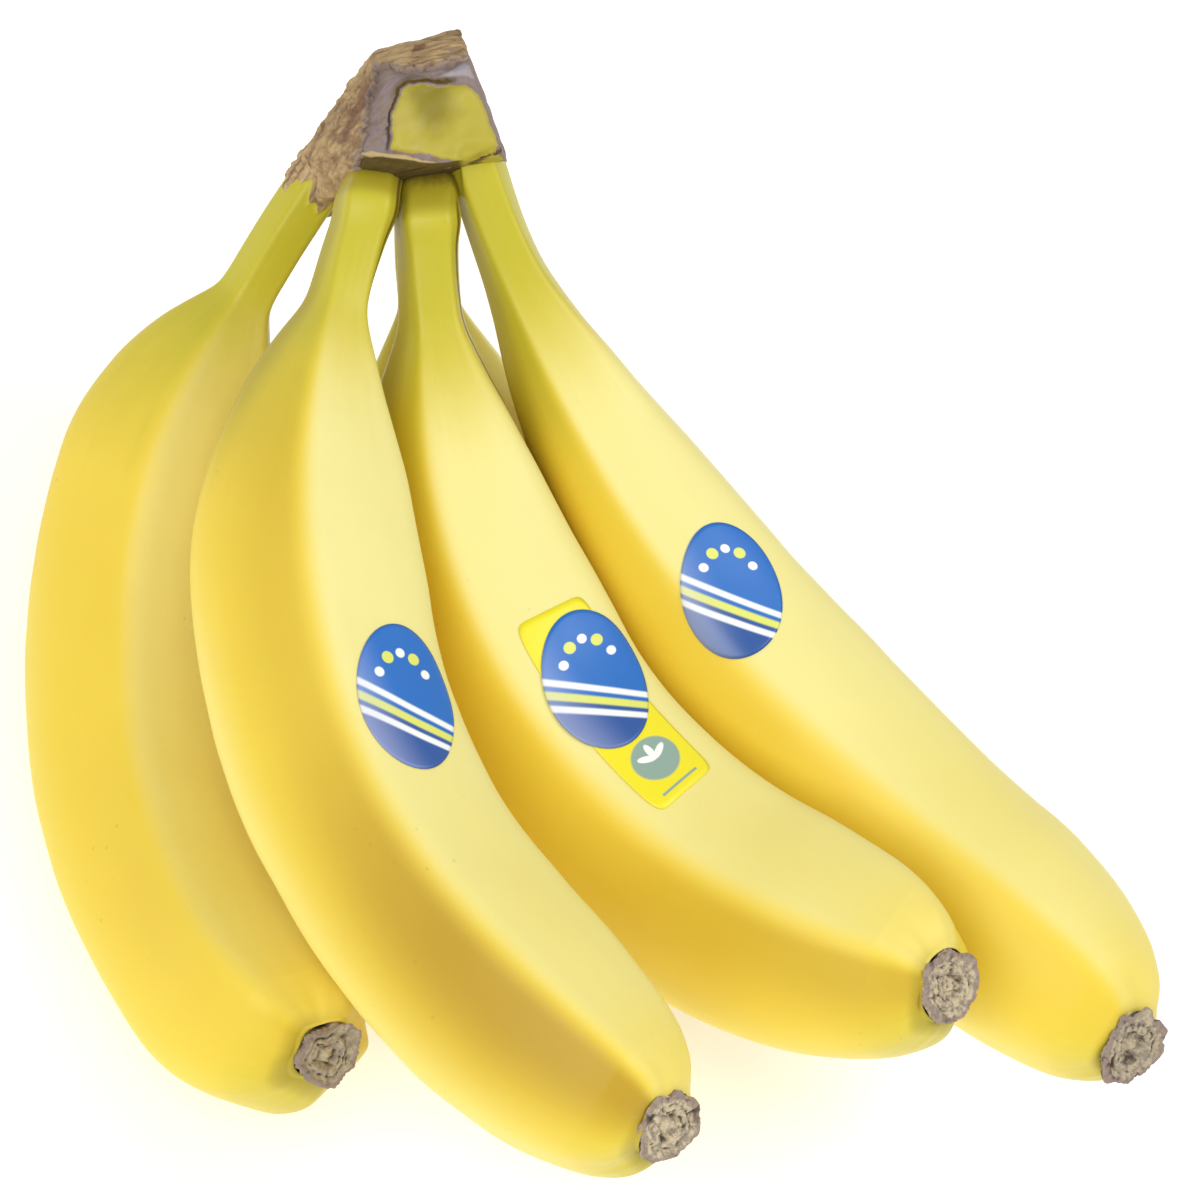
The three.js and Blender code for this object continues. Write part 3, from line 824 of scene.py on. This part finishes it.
def finger_marks(finger, s, angle, inward, pressed):
    """Where a finger is golden (partly painted shade), pale (painted highlight), green, darkened by painted shade
    in its crevices, recesses and contacts, or dried, each from 0 to 1.
    """
    from_tip = finger.length - s
    phase = finger.ridge_phase(s, angle)
    turned = np.degrees(wrapped(phase))
    tip = 1 - step(from_tip, 1, 22)
    ridge = 0.5 + 0.5 * np.cos(5 * phase)
    # Painted highlight: the face to the right of the front ridge, turned to the light, is painted paler than those
    # in the bunch's own shade, and a painted sheen lies near the left edge
    right_face = band(turned, -120, -72, -9, 7)
    left_face = band(turned, -5, 12, 100, 150)
    rim_sheen = band(turned, 42, 76, 110, 150) * step(s, 55, 105)
    neck = 1 - step(s, 12, 62 + 28 * left_face)
    top, bent = finger.knuckle[0], finger.knuckle[1] > 0
    # Painted shade: the neck's top, in the recess under the crown's lip, is painted brown, and olive where it
    # turns
    recess = (1 - step(s, top - 4.0, top + 0.4)) * bent
    turning = (1 - step(s, top - 1.0, top + 4.0)) * bent
    lower = step(s, 95, 165)
    # Painted shade: ochre on the face left of the front ridge, turned away from the light, more on the lower body
    ochre = band(turned, -7, 12, 100, 150) * (1 - 0.85 * step(turned, 20, 80)) * step(s, 20, 60)
    ochre = ochre * (finger.ochre[0] + finger.ochre[1] * lower)
    round_turn = np.degrees(wrapped(angle))
    middle = finger.neck_turn > 5
    # Painted shade: a brown stripe down the neck's right side, in the next neck's shadow
    shaded_neck_side = bell(round_turn, -84, 14) * band(s, 1, 8, 38, 62) * bent
    # Painted shade: olive on the neck's left facet
    shaded_neck_facet = bell(round_turn, 74, 36) * (1 - step(s, 40, 78)) * middle
    painted_highlight = 0.9 * right_face + 0.1 * ridge + 0.45 * rim_sheen
    fade = 0.85 if middle else 0.55
    # Painted shade: olive on the skin next to the stub, stronger on one side
    at_stub = (1 - step(from_tip, -0.2, 2.6)) * (0.6 + 0.4 * np.cos(angle - 1.2))
    # Painted shade: brown in the crevice where the skin rolls in to the stub
    crevice = step(inward, 0.80, 1.0)
    marks = {
        # golden is a faint yellow all over and painted shade on the faces turned away from the light; pale is the
        # painted highlight
        "golden": np.clip(0.14 + 0.30 * left_face - 0.3 * rim_sheen, 0, 1) * (1 - 0.6 * neck),
        "pale": np.clip(painted_highlight * finger.painted_highlight * (1 - 0.3 * lower), 0, 1) * (1 - fade * neck) * (1 - 0.35 * tip),
        "green": np.clip(0.9 * neck + 0.6 * tip * (0.6 + 0.4 * np.cos(angle - 2.2)), 0, 1),
        "ochre": ochre,
        # Painted shade: brown in the crevices, recesses and neck sides, and where fingers press
        "painted_brown_shade": np.clip(crevice + 0.6 * recess + 0.9 * shaded_neck_side + 0.25 * step(pressed, 0.5, 1.8), 0, 1),
        # Painted shade: olive next to the stub, on the neck's left facet and where the neck turns into the crown
        "painted_olive_shade": np.clip(at_stub + 0.95 * shaded_neck_facet + 1.2 * turning, 0, 1),
        "dry": np.zeros(s.shape),
    }
    if finger.name == "finger_1":
        teeth = 6.8 + 1.6 * np.cos(4 * (angle + math.radians(30))) + 0.8 * np.cos(11 * angle + 2)
        marks["dry"] = 1 - step(s, teeth - 1.2, teeth + 0.8)
    straight = np.stack([s, 12 * np.cos(angle), 12 * np.sin(angle)], -1) * MM
    return {**marks, "straight": straight}


def make_finger(fingers, index, settings, cork):
    """One finished skin, in place of its node."""
    finger = fingers[index]
    before = [fingers[k] for k in PRESSED_ORDER[:PRESSED_ORDER.index(index)]]
    s, angle, inward, points, pressed = finger_surface(
        finger, before, settings.rings, settings.around, settings.dent,
    )
    marks = finger_marks(finger, s, angle, inward, pressed)
    if finger.name == "finger_1":
        centre = finger.station(s.ravel())[0].reshape(points.shape)
        lift = 0.45 * step(marks["dry"], 0.3, 0.7) * (1 + 0.5 * waves(points, 1.6, 31))
        points = points + unit(points - centre) * lift[..., None]
    piece = tube_mesh(finger.name + "_skin", points, marks)
    piece.data.materials.append(skin_material(finger.name + "_peel", settings, cork))
    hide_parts(finger.name)
    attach(piece, "root")
    return piece


def crown_planes():
    """Planes of a skin over the crown's corners: normals, distances from its middle, and which are cut."""
    shell = bmesh.new()
    for corner in CROWN_FRONT + CROWN_SIDES + CROWN_BACK:
        shell.verts.new(np.array(corner) - CROWN_MIDDLE)
    bmesh.ops.convex_hull(shell, input=shell.verts)
    normals, distances = [], []
    for face in shell.faces:
        face.normal_update()
        normal = np.array(face.normal)
        distance = normal @ np.array(face.verts[0].co)
        normal, distance = (normal, distance) if distance > 0 else (-normal, -distance)
        if face.calc_area() > 1e-3 and not any(normal @ other > 0.9995 for other in normals):
            normals.append(normal)
            distances.append(distance)
    shell.free()
    normals, distances = np.array(normals), np.array(distances)
    cut = np.zeros(len(normals), bool)
    for a, b, c in CUT_SIDES:
        across = unit(np.cross(np.subtract(b, a), np.subtract(c, a)))
        cut |= np.abs(normals @ across) > 0.97
    return normals, distances, cut


def crown_reach(ways, planes, inset):
    """Distance from the crown's middle to its rounded planes: one over a high-power mean of their nearness.

    Also the weighted normal there, and how much of it is a cut side.
    """
    normals, distances, cut = planes
    moved = distances - np.where(cut, inset, 0)
    nearness = np.maximum(ways @ normals.T, 1e-6) / moved
    highest = nearness.max(-1, keepdims=True)
    weights = (nearness / highest) ** CROWN_SHARP
    reach = 1 / (highest[..., 0] * weights.sum(-1) ** (1 / CROWN_SHARP))
    shares = weights / weights.sum(-1, keepdims=True)
    return reach, unit(shares @ normals), (shares * cut).sum(-1)


def view_sphere(rows, columns, crowding):
    """Directions over a sphere in rows round the way to the camera, closer together near that pole."""
    x = (np.arange(rows) + 0.5) / rows
    polar = math.pi * (x - crowding * np.sin(math.pi * x))
    turn = -np.arange(columns) * (2 * math.pi / columns)
    polar, turn = np.meshgrid(polar, turn, indexing="ij")
    out = (np.sin(polar) * np.cos(turn))[..., None] * RIGHT + (np.sin(polar) * np.sin(turn))[..., None] * UP
    return out + np.cos(polar)[..., None] * BACK


def crown_face_relief(points, normal):
    """Relief of the crown's front: raised green face with a valley and lobe, dried band, and a lip below."""
    a, b = points @ RIGHT, points @ UP
    uneven = 0.25 * waves(points, 3.0, 41) + 0.12 * waves(points, 1.1, 42)
    face = outline_distance(a, b, GREEN_FACE) + 0.6 * uneven
    forward = normal @ BACK
    front = step(forward, 0.25, 0.55)
    inside = step(-face, -0.1, 1.1) * step(forward, 0.12, 0.34)
    valley = bell(a, 4.0, 3.8) * step(b, -7.5, 2.0)
    lobe = bell(a, 10.8, 2.4) * bell(b, 5.0, 2.2)
    ridge = bell(a, 7.6, 2.0) * step(-b, -3.0, 3.0)
    facet = bell(a, -0.3, 2.4) * bell(b, -1.5, 5.0)
    lip = outline_distance(a, b, LIP, closed=False) + 0.5 * uneven
    leftwards = 1 - step(a, 7.5, 11.0)
    on_lip = (1 - step(lip, 0.22, 0.60)) * front * leftwards
    under_line = LIP + [(40, -5), (40, -40), (-40, -40), (-14, -9)]
    below = step(-outline_distance(a, b, under_line), 0.1, 0.7) * step(forward, 0.1, 0.3)
    below = below * (1 - on_lip) * leftwards
    last_line = bell(face, 0.30, 0.34) * (1 - leftwards) * step(-b, 2.0, 3.6)
    raised = inside * (0.9 - 0.9 * valley + 0.9 * lobe + 0.4 * ridge + 0.4 * facet)
    groove = bell(face, 0.18, 0.28) * step(-a, -9.0, -6.0) * step(b, -6.5, -4.5)
    crease = bell(face, 0.7, 0.9) * leftwards * step(b, -4.0, 7.0)
    silver = step(-outline_distance(a, b, SILVER) - 0.3 * uneven, -0.2, 0.3) * front
    outer = (1 - inside) * (0.6 * uneven + 0.12 * waves(points * np.array([1, 1, 0.4]), 1.4, 44))
    relief = front * (raised + outer - 0.6 * groove) + 0.5 * on_lip - 1.3 * below + 0.35 * silver
    relief = relief - 1.5 * (1 - leftwards) * step(-b, 3.2, 6.0) * front
    # Painted shade: the faces turned down, and the band below the lip, are painted dark brown
    under = step(-(normal @ UP), 0.30, 0.70) * leftwards
    rightwards = step(normal @ RIGHT, 0.25, 0.5) * step(b, -8.5, -5.5)
    banded = step(forward, 0.1, 0.4) * (leftwards + (1 - leftwards) * step(b, -4.6, -3.2))
    dry = (1 - inside) * np.maximum(banded, rightwards) * (1 - 0.9 * on_lip)
    recess = (under + 0.95 * below) * (1 - 0.4 * step(lip, 1.2, 4.0))
    lines = (0.75 * groove + 0.55 * crease) * (1 - inside) + 0.8 * last_line
    marks = {
        "dry": dry,
        "silver": silver * dry,
        "valley": inside * front * (0.75 * valley + 0.34 * step(b, -4.0, 5.5) - 0.55 * lobe - 0.25 * facet),
        "lip": on_lip,
        # dark is painted shade in the recess under the lip, with the dark crack lines
        "dark": np.clip(recess + lines, 0, 1),
    }
    return relief, marks


def make_crown(settings):
    """The green block of the crown: rounded planes met from its middle, with relief on its front face."""
    planes = crown_planes()
    ways = view_sphere(250, 270, 0.16)
    reach, normal, cut = crown_reach(ways, planes, settings.cork_inset / MM)
    points = ways * reach[..., None]
    relief, marks = crown_face_relief(points, normal)
    # The block keeps behind the dried layer
    covered = step(-outline_distance(points @ RIGHT, points @ UP, CORK_EDGE), 0.4, 1.6)
    covered = covered * step(normal @ BACK, 0.1, 0.4)
    relief = relief - 1.3 * covered * (1 - cut)
    points = points + BACK * relief[..., None]
    points = points + ways * (0.18 * waves(points, 5.0, 43))[..., None]
    piece = tube_mesh("crown_body", points + CROWN_MIDDLE + CENTRED, marks)
    piece.data.materials.append(crown_material(settings))
    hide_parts("crown")
    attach(piece, "root")
    return piece


def make_cork(settings):
    """The dried layer on the crown's cut sides: a thin fibrous patch whose edges dip into the block."""
    planes = crown_planes()
    ways = view_sphere(270, 376, 0.0)
    reach, normal, cut = crown_reach(ways, planes, 0.0)
    points = ways * reach[..., None]
    a, b = points @ RIGHT, points @ UP
    edge = -outline_distance(a, b, CORK_EDGE) / 2.4
    seen = step(normal @ BACK, -0.05, 0.2)
    ragged = np.clip(cut - 0.5 + (edge - cut + 0.5) * seen, -0.5, 0.5)
    ragged = ragged + 0.13 * waves(points, 2.2, 51) + 0.09 * waves(points, 0.9, 52)
    shown = step(ragged, -0.12, 0.10)
    # Fibres run with the cut from the top of the crown down to its lower end
    lengthwise = unit(np.array([-0.55, -0.20, -0.81]))
    fibre = np.stack([
        points @ lengthwise, points @ np.cross(lengthwise, BACK), points @ BACK,
    ], -1)
    stretched = fibre * np.array([0.28, 1.0, 1.0])
    rough = 0.20 * waves(stretched, 1.6, 53) + 0.09 * waves(stretched, 0.6, 54) + 0.16 * waves(points, 5.0, 55)
    relief = shown * (0.10 + rough) - (1 - shown) * 1.5
    points = points + ways * relief[..., None]
    rows, columns = cut.shape
    faces = tube_faces(rows, columns)
    keep = with_middles((ragged > -0.35).astype(float)) > 0.5
    faces = faces[keep[np.maximum(faces, 0)].all(1)]
    used = np.unique(faces[faces >= 0])
    renumber = np.full(rows * columns + 3, -1)
    renumber[used] = np.arange(len(used))
    faces = np.where(faces >= 0, renumber[faces], -1)
    # Darker streak down the left side, and a bruise at the upper left corner
    streak = bell(outline_distance(a, b, [(-7.3, 6.4), (-11.3, -2.3)], closed=False), 0, 1.5)
    bruise = bell(a, -4.9, 2.6) * bell(b, 9.9, 1.5)
    marks = {
        "streak": np.clip(streak + bruise, 0, 1) * seen,
        "relief": 0.5 + 0.5 * np.clip(rough, -1, 1),
        "edge": 1 - step(ragged, 0.10, 0.42),
        "fibre": fibre * MM,
    }
    layers = {key: with_middles(values)[used] for key, values in marks.items()}
    placed = with_middles(points)[used] + CROWN_MIDDLE + CENTRED
    piece = make_mesh("crown_cork", placed, faces, layers)
    solid = piece.modifiers.new("thickness", "SOLIDIFY")
    solid.thickness = 0.0006
    solid.offset = -1
    piece.data.materials.append(cork_material(settings))
    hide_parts("crown_cut")
    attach(piece, "root")
    return piece


# Profile of a dried stub from its seat over its rim to its middle: height and width as shares of its own
STUB_PROFILE = [
    (0.05, 0.84), (0.30, 0.95), (0.55, 1.03), (0.80, 1.06), (0.95, 1.02), (1.03, 0.94), (1.02, 0.86),
    (0.93, 0.79), (0.87, 0.71), (0.92, 0.62), (0.96, 0.53), (0.92, 0.45), (0.80, 0.38), (0.76, 0.31),
    (0.84, 0.24), (0.93, 0.16), (0.95, 0.08), (0.94, 0.02),
]


def make_stub(finger, settings):
    """A dried blossom end: a low drum turned from a folded profile, its rim split into plates, all crumpled.

    Each ring of the drum is turned towards the front by the nod times its height.
    """
    stub = finger.stub
    rows, columns = 112, 152
    t = np.linspace(0, 1, rows)
    at = np.linspace(0, 1, len(STUB_PROFILE))
    smooth = np.ones(5) / 5
    height, width = (
        np.convolve(np.pad(np.interp(t, at, [point[i] for point in STUB_PROFILE]), 2, "edge"), smooth, "valid")
        for i in (0, 1)
    )
    share, turn = np.meshgrid(t, np.arange(columns) * (2 * math.pi / columns), indexing="ij")
    height, width = height[:, None] + 0 * turn, width[:, None] + 0 * turn
    nod = math.radians(stub["nod"])
    tall = STUB_SEAT + STUB_PROUD - GAP - 0.5 * stub["radius"] * math.sin(nod)
    ball = np.stack([width * np.cos(turn), width * np.sin(turn), height * 0.6], -1) * stub["radius"]
    seed = 60 + int(10 * stub["radius"])
    wander = 0.5 * waves(ball, 9.0, seed)
    turned = turn + math.radians(stub["turn"]) + 0.35 * wander
    plate = np.abs(np.sin(0.5 * stub["plates"] * turned))
    split = bell(plate, 0, 0.22)
    rim = band(share, 0.20, 0.34, 0.40, 0.50)
    petals = band(share, 0.42, 0.50, 0.66, 0.76)
    flat = 0.035 * np.cos(stub["plates"] * turned)
    uneven = 1 + 0.05 * np.cos(3 * turn + finger.radius) + 0.035 * np.cos(7 * turn + finger.neck * 3)
    crumple = waves(ball, 3.6, seed + 1) + 0.6 * waves(ball, 1.7, seed + 2) + 0.35 * waves(ball, 0.85, seed + 3)
    crumple = 1.25 * stub["crumple"] * crumple * step(share, 0.02, 0.2)
    side_wrinkles = 0.12 * np.cos(31 * turned + 3 * wander) * (1 - step(share, 0.30, 0.42))
    rings = 0.20 * np.cos(width * 22 + 2.6 * waves(ball, 4.0, seed + 4)) * step(share, 0.38, 0.5)
    fin_at, size, wide = stub["fin"]
    fin = size * bell(wrapped(turn - math.radians(fin_at)), 0, math.radians(wide))
    radial = width * (uneven + flat + fin * rim) - 0.06 * split * rim
    raised = height - 0.10 * split * (rim + 0.6 * petals) - stub["hollow"] * step(share, 0.66, 0.78)
    r = stub["radius"] * radial + (0.5 * crumple + side_wrinkles) * (1 - step(share, 0.36, 0.5))
    h = tall * raised + crumple * 0.55 * step(share, 0.30, 0.45) + rings
    centre, along, front, side = (v[0] for v in finger.station(np.array([finger.length - LIP_BACK])))
    centre = centre - along * (STUB_SEAT - GAP - LIP_BACK)
    lean, half = nod * height, 0.5 * nod * height
    centre = centre + stub["shift"] * side
    points = (
        centre
        + (h * np.cos(half) - r * np.cos(turn) * np.sin(lean))[..., None] * along
        + (h * np.sin(half) + r * np.cos(turn) * np.cos(lean))[..., None] * front
        + (r * np.sin(turn))[..., None] * side
    )
    points[..., 2] = np.maximum(points[..., 2], 0.05)
    # Painted shade: dark in the splits between plates, the pits of the crumple, the hollow and the creases at the
    # seat
    hollow = band(share, 0.64, 0.70, 0.76, 0.84)
    pits = step(-0.55 * crumple - rings, 0.0, 0.42)
    creases = 0.4 * band(share, 0.44, 0.47, 0.49, 0.53) + 0.9 * (1 - step(share, 0.10, 0.2))
    marks = {
        "rim": band(share, 0.10, 0.22, 0.33, 0.42),
        "crevice_shade": np.clip(0.4 * split * (rim + petals) + 0.7 * pits + 0.35 * hollow + creases, 0, 1),
        "button": step(share, 0.78, 0.88),
    }
    piece = tube_mesh(finger.name + "_stub", points, marks)
    piece.data.materials.append(stub_material(finger.name + "_dried", stub["tint"], settings))
    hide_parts(finger.name + "_tip")
    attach(piece, "root")
    return piece


def make_sticker(fingers, sticker, settings, dent):
    """A sticker: rings shrunk to its middle, above and below, in an outline of raised powers, bent to the skin."""
    finger = fingers[sticker["finger"]]
    rings, columns = 18, 128
    low = 0.06 + (sticker["level"] - 1) * (STICKER_THICK + 0.04)
    share = np.concatenate([np.linspace(0.04, 1, rings), np.linspace(1, 0.04, rings)])
    lift = np.concatenate([np.full(rings, low + STICKER_THICK), np.full(rings, low)])
    lift[rings - 1] -= 0.04
    angle = -np.arange(columns) * (2 * math.pi / columns)
    share, angle = np.meshgrid(share, angle, indexing="ij")
    lift = np.meshgrid(lift, angle[0], indexing="ij")[0]
    c, n, power = np.cos(angle), np.sin(angle), sticker["power"]
    reach = share / (np.abs(c) ** power + np.abs(n) ** power) ** (1 / power)
    along, across = reach * c, reach * n
    u, v = sticker["half"][0] * along, sticker["half"][1] * across
    lean = math.radians(sticker["turn"])
    s = sticker["at"][0] + u * math.cos(lean) - v * math.sin(lean)
    turn = math.radians(sticker["at"][1]) + (u * math.sin(lean) + v * math.cos(lean)) / finger.radius
    bare = finger.skin(s, turn)
    out = unit(finger.skin(s, turn, 1.0) - bare)
    points = uneven_skin(bare, s, out, dent) + out * lift[..., None]
    printed = np.stack([along, across, np.zeros(along.shape)], -1)
    piece = tube_mesh(sticker["name"] + "_print", points[::-1], {"printed": printed[::-1]})
    strip = sticker["name"].endswith("strip")
    piece.data.materials.append(sticker_material(sticker["name"] + "_ink", settings, strip))
    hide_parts(sticker["name"])
    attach(piece, "root")
    return piece


def area_light(name, towards, away, size, power, tint):
    """A square soft light some way from the bunch, turned to it."""
    light = bpy.data.lights.new(name, "AREA")
    light.shape = "SQUARE"
    light.size = size
    light.energy = power
    light.color = tint
    lamp = bpy.data.objects.new(name, light)
    back = unit(np.array(towards, float))
    across = unit(np.cross((0, 1, 0), back))
    over = np.cross(back, across)
    turned = Matrix(np.array([across, over, back]).T.tolist()).to_4x4()
    lamp.matrix_world = Matrix.Translation(AIM * MM + back * away) @ turned
    bpy.context.scene.collection.objects.link(lamp)
    return lamp


def make_stage(settings):
    """Floor, lights, surroundings and the camera of the photograph."""
    scene = bpy.context.scene
    corners = np.array([(-1, -1, 0), (1, -1, 0), (1, 1, 0), (-1, 1, 0)]) * FLOOR_REACH / MM
    floor = make_mesh("floor", corners, np.array([[0, 1, 2, 3]]))
    paint = Paint("floor_paper")
    grain = paint.noise(paint.coordinates(), 300.0, 2.0)
    shade = paint.mix(grain * 0.04, settings.floor, colour("d8d6d2"))
    floor.data.materials.append(paint.set(
        Base_Color=shade, Roughness=0.8, Emission_Color=(1.0, 1.0, 1.0, 1.0), Emission_Strength=0.30,
    ))
    area_light("key", 0.85 * RIGHT + 0.25 * UP + 0.50 * BACK, 0.9, 0.5, settings.key_power, (1.0, 0.995, 0.98))
    area_light("fill", -0.22 * RIGHT + BACK, 1.0, 0.7, settings.fill_power, (1.0, 1.0, 1.0))
    world = bpy.data.worlds.new("surroundings")
    world.use_nodes = True
    world.node_tree.nodes["Background"].inputs[0].default_value = (1.0, 1.0, 1.0, 1.0)
    world.node_tree.nodes["Background"].inputs[1].default_value = settings.world_strength
    scene.world = world
    scene.view_settings.view_transform = "Standard"
    scene.view_settings.look = "None"
    lens = bpy.data.cameras.new("camera")
    lens.sensor_width = 36.0
    lens.lens = LENS
    lens.clip_end = 20.0
    camera = bpy.data.objects.new("camera", lens)
    turned = Matrix(np.array([RIGHT, UP, BACK]).T.tolist()).to_4x4()
    camera.matrix_world = Matrix.Translation((AIM + CAMERA_AWAY * BACK) * MM) @ turned
    scene.collection.objects.link(camera)
    scene.camera = camera


def all_fingers():
    return [Finger(**spec) for spec in FINGERS]


class BANANAS_OT_skins(bpy.types.Operator):
    """Builds the skins of the five fingers"""

    bl_idname = "bananas.skins"
    bl_label = "Build skins"

    def execute(self, context):
        fingers = all_fingers()
        for index in range(len(fingers)):
            make_finger(fingers, index, context.scene.banana_skins, context.scene.banana_crown)
        return {"FINISHED"}


class BANANAS_OT_stubs(bpy.types.Operator):
    """Builds the dried blossom ends"""

    bl_idname = "bananas.stubs"
    bl_label = "Build blossom ends"

    def execute(self, context):
        for finger in all_fingers():
            make_stub(finger, context.scene.banana_stubs)
        return {"FINISHED"}


class BANANAS_OT_crown(bpy.types.Operator):
    """Builds the green block of the crown and the dried layer on its cut sides"""

    bl_idname = "bananas.crown"
    bl_label = "Build crown"

    def execute(self, context):
        make_crown(context.scene.banana_crown)
        make_cork(context.scene.banana_crown)
        return {"FINISHED"}


class BANANAS_OT_stickers(bpy.types.Operator):
    """Builds the stickers"""

    bl_idname = "bananas.stickers"
    bl_label = "Build stickers"

    def execute(self, context):
        fingers = all_fingers()
        for sticker in STICKERS:
            make_sticker(fingers, sticker, context.scene.banana_stickers, context.scene.banana_skins.dent)
        return {"FINISHED"}


class BANANAS_OT_stage(bpy.types.Operator):
    """Sets the floor, the light and the camera"""

    bl_idname = "bananas.stage"
    bl_label = "Set the stage"

    def execute(self, context):
        make_stage(context.scene.banana_stage)
        return {"FINISHED"}


OPERATORS = [
    BANANAS_OT_skins, BANANAS_OT_stubs, BANANAS_OT_crown, BANANAS_OT_stickers, BANANAS_OT_stage,
]
SETTINGS = {
    "banana_skins": BananaSkinSettings,
    "banana_crown": BananaCrownSettings,
    "banana_stubs": BananaStubSettings,
    "banana_stickers": BananaStickerSettings,
    "banana_stage": BananaStageSettings,
}


class BANANAS_PT_panel(bpy.types.Panel):
    """Lists the pieces of the bunch and their settings"""

    bl_idname = "BANANAS_PT_panel"
    bl_label = "Banana bunch"
    bl_space_type = "VIEW_3D"
    bl_region_type = "UI"
    bl_category = "Bananas"

    def draw(self, context):
        for operator in OPERATORS:
            self.layout.operator(operator.bl_idname)
        for key, group in SETTINGS.items():
            box = self.layout.box()
            for name in group.__annotations__:
                box.prop(getattr(context.scene, key), name)


def register():
    for group in SETTINGS.values():
        bpy.utils.register_class(group)
    for kind in [*OPERATORS, BANANAS_PT_panel]:
        bpy.utils.register_class(kind)
    for key, group in SETTINGS.items():
        setattr(bpy.types.Scene, key, bpy.props.PointerProperty(type=group))


def unregister():
    for key in SETTINGS:
        delattr(bpy.types.Scene, key)
    for kind in reversed([*SETTINGS.values(), *OPERATORS, BANANAS_PT_panel]):
        bpy.utils.unregister_class(kind)


def main():
    register()
    for operator in OPERATORS:
        group, name = operator.bl_idname.split(".")
        getattr(getattr(bpy.ops, group), name)()


if __name__ == "__main__":
    main()
